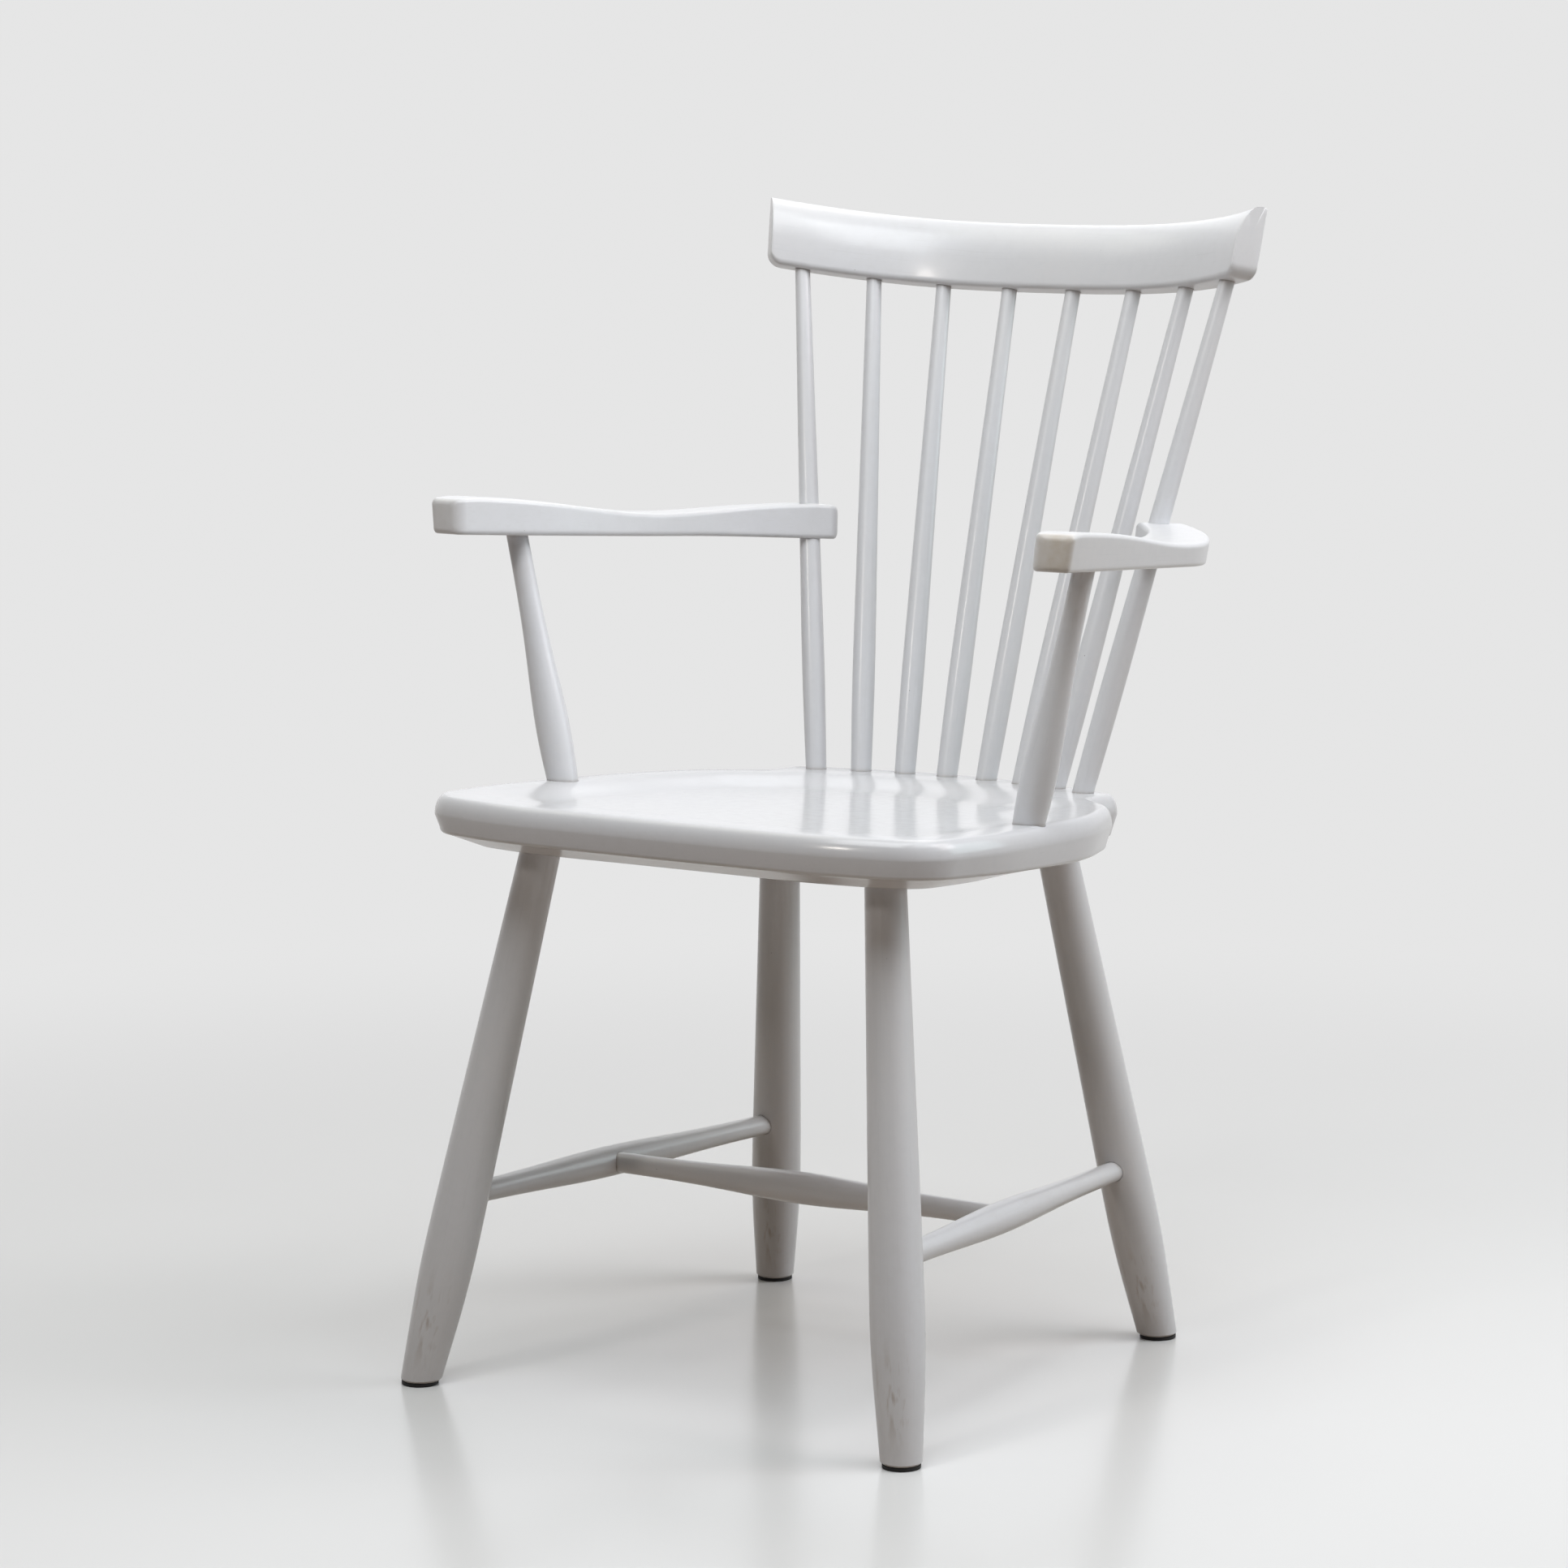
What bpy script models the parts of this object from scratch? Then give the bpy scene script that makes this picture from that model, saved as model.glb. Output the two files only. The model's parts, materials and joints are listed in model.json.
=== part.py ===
"""Spindle back armchair in painted wood: saddled seat, eight spindles, crest rail, arms, H stretcher.

Metres, +Z up, front towards -Y. Every stick is turned about its own axis and ends in a round tenon,
and every socket is bored on that same axis, so a piece and its hole always follow each other.
Places along Y count from the line midway between the front and the back feet.
"""
import math

import bmesh
import bpy
import numpy as np
from mathutils import Matrix, Vector
from mathutils.geometry import intersect_line_plane

# Fits
FIT_GAP = 0.0003
SHOULDER_SINK = 0.005

# Seat
SEAT_HEIGHT = 0.4345
SEAT_FALL = 0.047
SEAT_THICKNESS = 0.038
SEAT_FRONT_Y = -0.2205
SEAT_FRONT_BOW = 0.002
SEAT_FRONT_BOW_HALF = 0.140
SEAT_CORNER_HALF = 0.2275
SEAT_CORNER_Y = -0.1985
SEAT_CORNER_ROUND = 0.050
SEAT_WIDEST_HALF = 0.2310
SEAT_WIDEST_Y = -0.105
SEAT_WAIST_HALF = 0.2160
SEAT_WAIST_Y = 0.048
SEAT_SHOULDER_HALF = 0.189
SEAT_SHOULDER_Y = 0.122
SEAT_SHOULDER_ROUND = 0.060
SEAT_COVE_Y = 0.157
SEAT_COVE_ROUND = 0.010
SEAT_SIDE_ROUND = 0.300
TAIL_FLARE = 0.002
TAIL_SIDE_MARGIN = 0.0287
TAIL_CORNER_SETBACK = 0.011
TAIL_CORNER_ROUND = 0.016
TAIL_CORNER_REACH = 0.024
TAIL_BACK_MARGIN = 0.021
EDGE_ROUND_SIDE = 0.0095
EDGE_ROUND_FRONT = 0.0150
EDGE_ROUND_DEPTH = 0.012
EDGE_DEPTH_FRONT = 0.029
EDGE_DEPTH_SIDE = 0.033
EDGE_UNDERCUT = 0.004
EDGE_LOWER_ROUND = 0.004
UNDERSIDE_BEVEL = 0.050
DISH_DEPTH = 0.008
DISH_SIDE_MARGIN = 0.021
DISH_BACK_MARGIN = 0.031
DISH_EDGE_BLEND = 0.008
DISH_SLOPE_LENGTH = 0.060
DISH_FRONT_LENGTH = 0.110

# Spindles
SPINDLE_COUNT = 8
SPINDLE_ROW_RADIUS = 0.2694
SPINDLE_ROW_CENTRE_Y = -0.0510
SPINDLE_SEAT_PITCH = 0.0362
SPINDLE_CREST_PITCH = 0.0583
SPINDLE_SEAT_RADIUS = 0.0082
SPINDLE_SWELL = 0.014
SPINDLE_CREST_RADIUS = 0.0060
SPINDLE_TAPER = 0.00975
SPINDLE_BLEND = 0.0004
SPINDLE_SEAT_TENON_RADIUS = 0.0060
SPINDLE_SEAT_TENON = 0.017
SPINDLE_CREST_TENON_RADIUS = 0.0043
SPINDLE_CREST_TENON = 0.017

# Crest rail
CREST_SETBACK = 0.1093
CREST_ABOVE_SEAT = 0.3663
CREST_LEAN = math.radians(15.6)
CREST_END_MARGIN = 0.028
CREST_BOW = 0.0736
CREST_BOW_HALF = 0.222
CREST_BOW_POWER = 2.65
CREST_HEIGHT = 0.055
CREST_THICKNESS = 0.022
CREST_NOSE_DEPTH = 0.017
CREST_NOSE_HEIGHT = 0.034
CREST_BACK_ROUND = 0.005
CREST_FRONT_EDGE_ROUND = 0.0045
CREST_BACK_EDGE_ROUND = 0.003
CREST_CORNER_ROUND = 0.010
CREST_CORNER_HEIGHT = 0.030
CREST_END_ROUND = 0.0015
CREST_END_FLARE = 0.005

# Arms
ARM_ABOVE_SEAT = 0.1880
ARM_FALL = 0.070
ARM_TOE_IN = math.radians(7.2)
ARM_FRONT_REACH = 0.0745
ARM_BEND_ANGLE = math.radians(37.8)
ARM_BEND_RADIUS = 0.148
ARM_POST_INSET = 0.0189
ARM_SPINDLE_INSET = 0.0247
ARM_TAIL_REACH = 0.0223
ARM_FRONT_WIDTH = 0.0288
ARM_TAIL_WIDTH = 0.0323
ARM_SWELL = 0.0217
ARM_END_THICKNESS = 0.0288
ARM_SCOOP_THICKNESS = 0.0176
ARM_SCOOP_AHEAD = 0.1412
ARM_SCOOP_SPREAD = 0.0679
ARM_SCOOP_TURN = math.radians(30.8)
ARM_OUTER_LEAN = 0.137
ARM_INNER_LEAN = 0.077
ARM_TOP_ROUND = 0.003
ARM_UNDER_ROUND = 0.003
ARM_OUTER_CORNER = 0.003
ARM_INNER_CORNER = 0.006
ARM_END_DROP = 0.0025
ARM_END_DROP_REACH = 0.022

# Arm posts
POST_SEAT_INSET = 0.0168
POST_SEAT_Y = -0.0356
POST_SPREAD = 0.0432
POST_ARM_Y = -0.0337
POST_TOP_RADIUS = 0.0082
POST_SWELL_RADIUS = 0.0131
POST_SWELL_PLACE = 0.19
POST_SWELL_SPREAD = 0.25
POST_SEAT_TENON_RADIUS = 0.0090
POST_SEAT_TENON = 0.017
POST_ARM_TENON_RADIUS = 0.0062
POST_ARM_TENON = 0.009

# Legs
FOOT_FRONT_HALF = 0.2130
FOOT_FRONT_Y = -0.2146
FOOT_BACK_HALF = 0.1783
FOOT_BACK_Y = 0.2146
LEG_FRONT_SEAT_HALF = 0.1514
LEG_FRONT_SEAT_Y = -0.1386
LEG_BACK_SEAT_HALF = 0.1255
LEG_BACK_SEAT_Y = 0.1448
LEG_TOP_RADIUS = 0.0152
LEG_TAPER = 0.0163
LEG_FOOT_RADIUS = 0.0149
LEG_ANKLE_FLARE = 0.066
LEG_BLEND = 0.0012
LEG_FOOT_CHAMFER = 0.0015
LEG_SHOULDER_SINK = 0.009
LEG_TENON_RADIUS = 0.0125
LEG_TENON = 0.013

# Stretchers
STRETCHER_FRONT_Z = 0.1415
STRETCHER_BACK_Z = 0.1362
STRETCHER_END_RADIUS = 0.0080
STRETCHER_SWELL_RADIUS = 0.0118
STRETCHER_SWELL_PLACE = 0.44
STRETCHER_SWELL_SPREAD = 0.17
STRETCHER_SHORT_OF_AXIS = 0.004
CROSS_PLACE = 0.4513
CROSS_END_RADIUS = 0.0079
CROSS_SWELL_RADIUS = 0.01225
CROSS_SWELL_PLACE = 0.50
CROSS_SWELL_SPREAD = 0.15
CROSS_TENON_RADIUS = 0.0060
CROSS_TENON = 0.006
CROSS_SHORT_OF_AXIS = 0.002

# Foot glides and their nails
GLIDE_RADIUS = 0.0139
GLIDE_THICKNESS = 0.0028
GLIDE_CHAMFER = 0.0005
NAIL_HEAD_RADIUS = 0.0050
NAIL_HEAD = 0.0010
NAIL_SHANK_RADIUS = 0.0012
NAIL_SHANK = 0.015
NAIL_POINT = 0.002

# Facets: sides round a stick, steps along it, steps round a corner
STICK_SIDES = 16
SPINDLE_SIDES = 12
NAIL_SIDES = 8
STICK_STEPS = 10
SPINDLE_STEPS = 7
CORNER_STEPS = 4
EDGE_STEPS = 3
CREST_STEPS = 20
ARM_STEPS = 18
TAIL_STEPS = 6
CURVE_SAMPLES = 600
DISH_STEPS = (1.0, 0.92, 0.83, 0.68, 0.36)
END_RING_SHARES = (0.0, 0.12, 0.33, 0.62)
SHARP_ANGLE = math.radians(35.0)

# How far a hole's cutter stands out of the wood, and the share of a side that a rounding may take
CUT_REACH = 0.030
ROUNDING_LIMIT = 0.45

# Finishes: colour, roughness, metallic
SEAT_LACQUER = ((0.66, 0.67, 0.68), 0.30, 0.0)
FRAME_LACQUER = ((0.64, 0.65, 0.66), 0.38, 0.0)
BLACK_RUBBER = ((0.015, 0.015, 0.016), 0.60, 0.0)
NAIL_STEEL = ((0.56, 0.57, 0.58), 0.40, 1.0)

SIDES = {"left": -1, "right": 1}


def clear_scene():
    """Takes every object out of the scene, so that only the chair is there."""
    for thing in list(bpy.data.objects):
        bpy.data.objects.remove(thing, do_unlink=True)


def finish_material(name, finish):
    """A material of one colour, roughness and metallic value."""
    colour, roughness, metallic = finish
    material = bpy.data.materials.new(name)
    material.use_nodes = True
    shader = material.node_tree.nodes["Principled BSDF"]
    shader.inputs["Base Color"].default_value = (*colour, 1.0)
    shader.inputs["Roughness"].default_value = roughness
    shader.inputs["Metallic"].default_value = metallic
    return material


def soft_lower(a, b, blend):
    """The lower of two values, with the corner between them rounded over the blend."""
    return -blend * np.logaddexp(-a / blend, -b / blend)


def swelling(share, end, swell, place, spread):
    """A radius that swells from its end value to a full one, bell shaped about its place."""
    return end + (swell - end) * np.exp(-0.5 * ((share - place) / spread) ** 2)


def smooth_step(value):
    """0 below 0, 1 above 1, with a smooth S between."""
    held = np.clip(value, 0.0, 1.0)
    return held * held * (3.0 - 2.0 * held)


def corner_inset(reach, radius):
    """How far a round corner of a given radius draws in, at a reach from the end."""
    left = np.clip(radius - reach, 0.0, radius)
    return radius - math.sqrt(radius * radius - left * left)


def rounded_corner(before, corner, after, radius, steps):
    """Points of the arc that rounds one corner of an outline, held within its share of each side."""
    here = Vector(corner)
    back = Vector(before) - here
    ahead = Vector(after) - here
    half = back.angle(ahead) / 2.0
    reach = min(radius / math.tan(half), ROUNDING_LIMIT * min(back.length, ahead.length))
    back.normalize()
    ahead.normalize()
    middle = here + (back + ahead).normalized() * reach / math.cos(half)
    first = here + back * reach - middle
    last = here + ahead * reach - middle
    sweep = math.atan2(first.x * last.y - first.y * last.x, first.dot(last))
    turns = [Matrix.Rotation(sweep * step / steps, 2) for step in range(steps + 1)]
    return [tuple(middle + turn @ first) for turn in turns]


def skin(rings, peak=None):
    """A closed shape over rings of equal count, its last ring drawn to a peak or capped flat."""
    shape = bmesh.new()
    loops = [[shape.verts.new(point) for point in ring] for ring in rings]
    count = len(loops[0])
    for low, high in zip(loops, loops[1:]):
        for i in range(count):
            j = (i + 1) % count
            shape.faces.new((low[i], low[j], high[j], high[i]))
    shape.faces.new(loops[0])
    if peak is None:
        shape.faces.new(loops[-1])
    else:
        tip = shape.verts.new(peak)
        for i in range(count):
            shape.faces.new((loops[-1][i], loops[-1][(i + 1) % count], tip))
    bmesh.ops.recalc_face_normals(shape, faces=shape.faces)
    return shape


def add_object(name, shape, place, chair):
    """Puts a finished shape into the scene as one named object of the chair."""
    mesh = bpy.data.meshes.new(name)
    shape.to_mesh(mesh)
    shape.free()
    mesh.shade_smooth()
    mesh.set_sharp_from_angle(angle=SHARP_ANGLE)
    thing = bpy.data.objects.new(name, mesh)
    bpy.context.scene.collection.objects.link(thing)
    thing.parent = chair
    thing.matrix_local = place
    return thing


def add_piece(name, shape, place, finish, chair):
    """A piece of the chair, with a material of its own."""
    piece = add_object(name, shape, place, chair)
    piece.data.materials.append(finish_material(f"{name}_finish", finish))
    return piece


def turned_rings(rows, sides):
    """Rings about Z for rows of (height, radius)."""
    angles = np.arange(sides) * 2.0 * math.pi / sides
    return [[(r * math.cos(a), r * math.sin(a), z) for a in angles] for z, r in rows]


def drill(host, holes, chair):
    """Cuts every hole, given as (place, rows, sides), out of a host piece."""
    cutters = bpy.data.collections.new(f"{host.name}_holes")
    for number, (place, rows, sides) in enumerate(holes, 1):
        shape = skin(turned_rings(rows, sides))
        cutter = add_object(f"{host.name}_hole_{number}", shape, place, chair)
        cutter.hide_render = True
        cutter.display_type = "WIRE"
        cutters.objects.link(cutter)
    cut = host.modifiers.new("holes", "BOOLEAN")
    cut.operation = "DIFFERENCE"
    cut.solver = "EXACT"
    cut.operand_type = "COLLECTION"
    cut.collection = cutters


class Stick:
    """A turned stick from start to end, with a tenon (sink, length, radius) or none at each end.

    body gives the radius at a distance from the start. A tenon's shoulder lies its sink beyond the
    start or the end, inside the wood that holds it.
    """

    def __init__(self, start, end, body, sides, steps, foot=None, head=None):
        turn = (end - start).to_track_quat("Z", "Y").to_matrix().to_4x4()
        self.place = Matrix.Translation(start) @ turn
        self.start = start
        self.end = end
        self.length = (end - start).length
        self.body = body
        self.sides = sides
        self.steps = steps
        self.foot = foot
        self.head = head

    def at(self, share):
        """The point on the axis at a share of the length."""
        return self.start.lerp(self.end, share)

    def body_rows(self, low, high, steps, gap=0.0):
        """Rows of (height, radius) along the body, a gap larger all round."""
        return [(z, float(self.body(z)) + gap) for z in np.linspace(low, high, steps + 1)]

    def rows(self, low=None):
        """Rows of the whole stick, from its foot tenon, or from a given height, to its head tenon."""
        foot_rows = []
        head_rows = []
        bottom = 0.0 if low is None else low
        top = self.length
        if self.foot:
            sink, length, radius = self.foot
            bottom = -sink
            foot_rows = [(bottom - length, radius), (bottom, radius)]
        if self.head:
            sink, length, radius = self.head
            top += sink
            head_rows = [(top, radius), (top + length, radius)]
        return [*foot_rows, *self.body_rows(bottom, top, self.steps), *head_rows]

    def socket(self, at_head):
        """The hole for one end: its place, rows one fit gap larger than the stick, and its sides."""
        tenon = self.head if at_head else self.foot
        mouth = self.length if at_head else 0.0
        into = 1.0 if at_head else -1.0
        sink, length, radius = tenon if tenon else (0.0, 0.0, 0.0)
        shoulder = mouth + into * (sink + FIT_GAP)
        mouth_rows = self.body_rows(mouth + into * sink, mouth - into * CUT_REACH, EDGE_STEPS, FIT_GAP)
        mouth_rows[0] = (shoulder, mouth_rows[0][1])
        tenon_rows = []
        if tenon:
            tenon_rows = [(shoulder + into * length, radius + FIT_GAP), (shoulder, radius + FIT_GAP)]
        return self.place, [*tenon_rows, *mouth_rows], self.sides

    def passage(self, point):
        """The hole for the body where it passes right through a piece at a point of the axis."""
        middle = (point - self.start).length
        rows = self.body_rows(middle - CUT_REACH, middle + 2.0 * CUT_REACH, EDGE_STEPS, FIT_GAP)
        return self.place, rows, self.sides


def seat_place():
    """The seat's own frame: its rim is the plane Z = 0, and it falls towards the back."""
    return Matrix.Translation((0.0, 0.0, SEAT_HEIGHT)) @ Matrix.Rotation(-math.atan(SEAT_FALL), 4, "X")


def row_point(angle, radius):
    """A point of the seat plane on an arc about the centre of the spindle row, 0 straight back."""
    return Vector((radius * math.sin(angle), SPINDLE_ROW_CENTRE_Y + radius * math.cos(angle)))


def spindle_seat_point(index):
    """Where a spindle stands, in the seat plane."""
    steps_from_middle = index - (SPINDLE_COUNT - 1) / 2.0
    return row_point(steps_from_middle * SPINDLE_SEAT_PITCH / SPINDLE_ROW_RADIUS, SPINDLE_ROW_RADIUS)


def seat_outline():
    """The seat's widest outline in plan, anticlockwise from the middle of the front."""
    last = spindle_seat_point(SPINDLE_COUNT - 1)
    tail_corner = last + Vector((TAIL_SIDE_MARGIN, TAIL_CORNER_SETBACK))
    tail_radius = SPINDLE_ROW_RADIUS + TAIL_BACK_MARGIN
    tail_angle = math.asin((tail_corner.x - TAIL_CORNER_REACH) / tail_radius)
    tail_arc = [row_point(angle, tail_radius) for angle in np.linspace(tail_angle, 0.0, TAIL_STEPS)]
    corners = [
        (0.0, SEAT_FRONT_Y, 0.0),
        (SEAT_FRONT_BOW_HALF, SEAT_FRONT_Y + SEAT_FRONT_BOW, SEAT_SIDE_ROUND),
        (SEAT_CORNER_HALF, SEAT_CORNER_Y, SEAT_CORNER_ROUND),
        (SEAT_WIDEST_HALF, SEAT_WIDEST_Y, SEAT_SIDE_ROUND),
        (SEAT_WAIST_HALF, SEAT_WAIST_Y, SEAT_SIDE_ROUND),
        (SEAT_SHOULDER_HALF, SEAT_SHOULDER_Y, SEAT_SHOULDER_ROUND),
        (tail_corner.x - TAIL_FLARE, SEAT_COVE_Y, SEAT_COVE_ROUND),
        (tail_corner.x, tail_corner.y, TAIL_CORNER_ROUND),
        (tail_arc[0].x, tail_arc[0].y, 0.0),
    ]
    right = []
    for before, here, after in zip(corners, corners[1:], corners[2:]):
        right += rounded_corner(before[:2], here[:2], after[:2], here[2], CORNER_STEPS)
    right += [tuple(point) for point in tail_arc[:-1]]
    left = [(-x, y) for x, y in reversed(right)]
    return np.array([corners[0][:2], *right, tuple(tail_arc[-1]), *left])


def seat_side(y):
    """Half the seat's width between its widest place and its waist."""
    share = (y - SEAT_WIDEST_Y) / (SEAT_WAIST_Y - SEAT_WIDEST_Y)
    return SEAT_WIDEST_HALF + (SEAT_WAIST_HALF - SEAT_WIDEST_HALF) * share


def drawn_in(outline, inset):
    """An outline moved inwards, square to itself, by an inset that may differ from point to point."""
    ahead = np.roll(outline, -1, axis=0) - np.roll(outline, 1, axis=0)
    ahead /= np.linalg.norm(ahead, axis=1, keepdims=True)
    inward = np.stack([-ahead[:, 1], ahead[:, 0]], axis=1)
    return outline + inward * np.broadcast_to(inset, len(outline))[:, None]


def at_height(outline, height):
    """Plan points lifted to a height, or to a height for each point."""
    return np.column_stack([outline, np.broadcast_to(height, len(outline))])


def seat_rings():
    """Rings of the seat from its underside, round its edge and over its rim into the dish."""
    outline = seat_outline()
    centre = np.array([0.0, (outline[:, 1].min() + outline[:, 1].max()) / 2.0])
    front_share = smooth_step((SEAT_WIDEST_Y - outline[:, 1]) / (SEAT_WIDEST_Y - SEAT_CORNER_Y))
    edge_round = EDGE_ROUND_SIDE + (EDGE_ROUND_FRONT - EDGE_ROUND_SIDE) * front_share
    side_share = smooth_step((outline[:, 1] - SEAT_CORNER_Y) / (SEAT_WAIST_Y - SEAT_CORNER_Y))
    edge_depth = EDGE_DEPTH_FRONT + (EDGE_DEPTH_SIDE - EDGE_DEPTH_FRONT) * side_share
    lower = drawn_in(outline, EDGE_UNDERCUT + EDGE_LOWER_ROUND)
    spread = np.linalg.norm(lower - centre, axis=1, keepdims=True)
    underside = centre + (lower - centre) * (1.0 - UNDERSIDE_BEVEL / spread)
    rings = [
        at_height(underside, -SEAT_THICKNESS),
        at_height(lower, -edge_depth),
        at_height(drawn_in(outline, EDGE_UNDERCUT), EDGE_LOWER_ROUND - edge_depth),
    ]
    for turn in np.linspace(0.0, math.pi / 2.0, EDGE_STEPS + 1):
        inset = edge_round * (1.0 - math.cos(turn))
        rings.append(at_height(drawn_in(outline, inset), -EDGE_ROUND_DEPTH * (1.0 - math.sin(turn))))
    return [*rings, *dish_rings(outline, centre)], (*centre, -DISH_DEPTH)


def dish_rings(outline, centre):
    """Rings of the dish: its edge keeps clear of the sides and of the spindle row."""
    ray = outline - centre
    spread = np.linalg.norm(ray, axis=1)
    ray /= spread[:, None]
    to_row = np.array([0.0, SPINDLE_ROW_CENTRE_Y]) - centre
    along = ray @ to_row
    radius = SPINDLE_ROW_RADIUS - DISH_BACK_MARGIN
    row_reach = along + np.sqrt(along**2 + radius**2 - to_row @ to_row)
    reach = soft_lower(spread - DISH_SIDE_MARGIN, row_reach, DISH_EDGE_BLEND)
    rings = []
    for share in DISH_STEPS:
        plan = centre + ray * (reach * share)[:, None]
        slope = smooth_step(reach * (1.0 - share) / DISH_SLOPE_LENGTH)
        fade = smooth_step((plan[:, 1] - SEAT_FRONT_Y) / DISH_FRONT_LENGTH)
        rings.append(at_height(plan, -DISH_DEPTH * slope * fade))
    return rings


def make_seat(holes, chair):
    """The saddled seat, bored from above for spindles and posts and from below for legs."""
    rings, middle = seat_rings()
    seat = add_piece("seat", skin(rings, middle), seat_place(), SEAT_LACQUER, chair)
    drill(seat, holes, chair)


def crest_place():
    """The crest rail's own frame: on its underside, at the middle, leaning back."""
    y = SPINDLE_ROW_CENTRE_Y + SPINDLE_ROW_RADIUS + CREST_SETBACK
    middle = Matrix.Translation((0.0, y, SEAT_HEIGHT + CREST_ABOVE_SEAT))
    return middle @ Matrix.Rotation(-CREST_LEAN, 4, "X")


def crest_curve(reach):
    """Plan point and heading of the crest rail's middle line at a reach along it from the middle."""
    x = np.linspace(0.0, 2.0 * CREST_BOW_HALF, CURVE_SAMPLES)
    y = -CREST_BOW * (x / CREST_BOW_HALF) ** CREST_BOW_POWER
    run = np.concatenate([[0.0], np.cumsum(np.hypot(np.diff(x), np.diff(y)))])
    here = np.interp(abs(reach), run, x)
    slope = -CREST_BOW * CREST_BOW_POWER / CREST_BOW_HALF * (here / CREST_BOW_HALF) ** (CREST_BOW_POWER - 1.0)
    side = math.copysign(1.0, reach)
    point = Vector((side * here, np.interp(here, x, y)))
    return point, Vector((1.0, side * slope)).normalized()


def crest_section():
    """The crest rail's section as (depth, height): upright front, rounded nose to a ridge at the back."""
    front = -CREST_THICKNESS / 2.0
    back = CREST_THICKNESS / 2.0
    nose_start = CREST_HEIGHT - CREST_NOSE_HEIGHT
    ridge = front + CREST_NOSE_DEPTH
    nose = []
    for turn in np.linspace(0.0, math.pi / 2.0, CORNER_STEPS + 2):
        depth = front + CREST_NOSE_DEPTH * (1.0 - math.cos(turn))
        nose.append((depth, nose_start + CREST_NOSE_HEIGHT * math.sin(turn)))
    low_front = rounded_corner(
        (back, 0.0), (front, 0.0), (front, nose_start), CREST_FRONT_EDGE_ROUND, EDGE_STEPS)
    low_back = rounded_corner(
        (back, CREST_HEIGHT), (back, 0.0), (front, 0.0), CREST_BACK_EDGE_ROUND, EDGE_STEPS)
    top_back = rounded_corner(
        (ridge, CREST_HEIGHT), (back, CREST_HEIGHT), (back, 0.0), CREST_BACK_ROUND, EDGE_STEPS)
    return np.array([*low_front, *nose, *top_back[1:], *low_back])


def make_crest_rail(holes, chair):
    """The crest rail: its section carried along the bowed middle line, lower corners rounded."""
    half = (SPINDLE_COUNT - 1) / 2.0 * SPINDLE_CREST_PITCH + CREST_END_MARGIN
    section = crest_section()
    middle = np.array([0.0, CREST_HEIGHT / 2.0])
    near_end = CREST_CORNER_ROUND * np.array(END_RING_SHARES)
    inner = np.linspace(-half + CREST_CORNER_ROUND, half - CREST_CORNER_ROUND, CREST_STEPS + 1)
    rings = []
    for reach in [*(near_end - half), *inner, *(half - near_end[::-1])]:
        to_end = half - abs(reach)
        lift = corner_inset(to_end, CREST_CORNER_ROUND)
        fade = np.clip(1.0 - section[:, 1] / CREST_CORNER_HEIGHT, 0.0, 1.0) ** 2
        shrink = 1.0 - corner_inset(to_end, CREST_END_ROUND) / (CREST_THICKNESS / 2.0)
        depth, height = ((section - middle) * (shrink, 1.0) + middle).T
        height = height + lift * fade
        flare = CREST_END_FLARE * height / CREST_HEIGHT * reach / half
        point, heading = crest_curve(reach)
        plan_x = point.x - depth * heading.y + flare * heading.x
        plan_y = point.y + depth * heading.x + flare * heading.y
        rings.append(np.column_stack([plan_x, plan_y, height]))
    rail = add_piece("crest_rail", skin(rings), crest_place(), FRAME_LACQUER, chair)
    drill(rail, holes, chair)


def spindle_stick(index):
    """One spindle: from its place on the seat to the crest rail's underside."""
    foot = seat_place() @ spindle_seat_point(index).to_3d()
    reach = (index - (SPINDLE_COUNT - 1) / 2.0) * SPINDLE_CREST_PITCH
    head = crest_place() @ crest_curve(reach)[0].to_3d()
    length = (head - foot).length

    def body(s):
        taper = SPINDLE_CREST_RADIUS + SPINDLE_TAPER * (length - s)
        return soft_lower(taper, SPINDLE_SEAT_RADIUS + SPINDLE_SWELL * s, SPINDLE_BLEND)

    return Stick(
        foot, head, body, SPINDLE_SIDES, SPINDLE_STEPS,
        foot=(SHOULDER_SINK, SPINDLE_SEAT_TENON, SPINDLE_SEAT_TENON_RADIUS),
        head=(SHOULDER_SINK, SPINDLE_CREST_TENON, SPINDLE_CREST_TENON_RADIUS))


def post_half():
    """Half the distance between the arm posts, where they stand on the seat."""
    return seat_side(POST_SEAT_Y) - POST_SEAT_INSET


def arm_place(side):
    """An arm's own frame: on its flat underside, where the post meets it."""
    half = post_half() + POST_SPREAD
    head = Matrix.Translation((side * half, POST_ARM_Y, SEAT_HEIGHT + ARM_ABOVE_SEAT))
    fall = Matrix.Rotation(-math.atan(ARM_FALL), 4, "X")
    return head @ fall @ Matrix.Rotation(side * ARM_TOE_IN, 4, "Z")


def arm_crossing(side, spindle):
    """Where the outer spindle's axis meets the plane of an arm's underside."""
    place = arm_place(side)
    return intersect_line_plane(spindle.start, spindle.end, place.translation, place.col[2].to_3d())


def post_stick(side):
    """One arm post: from the seat's side to the arm's underside."""
    foot = seat_place() @ Vector((side * post_half(), POST_SEAT_Y, 0.0))
    head = arm_place(side).translation
    length = (head - foot).length

    def body(s):
        return swelling(s / length, POST_TOP_RADIUS, POST_SWELL_RADIUS, POST_SWELL_PLACE, POST_SWELL_SPREAD)

    return Stick(
        foot, head, body, STICK_SIDES, STICK_STEPS,
        foot=(SHOULDER_SINK, POST_SEAT_TENON, POST_SEAT_TENON_RADIUS),
        head=(SHOULDER_SINK, POST_ARM_TENON, POST_ARM_TENON_RADIUS))


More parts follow.
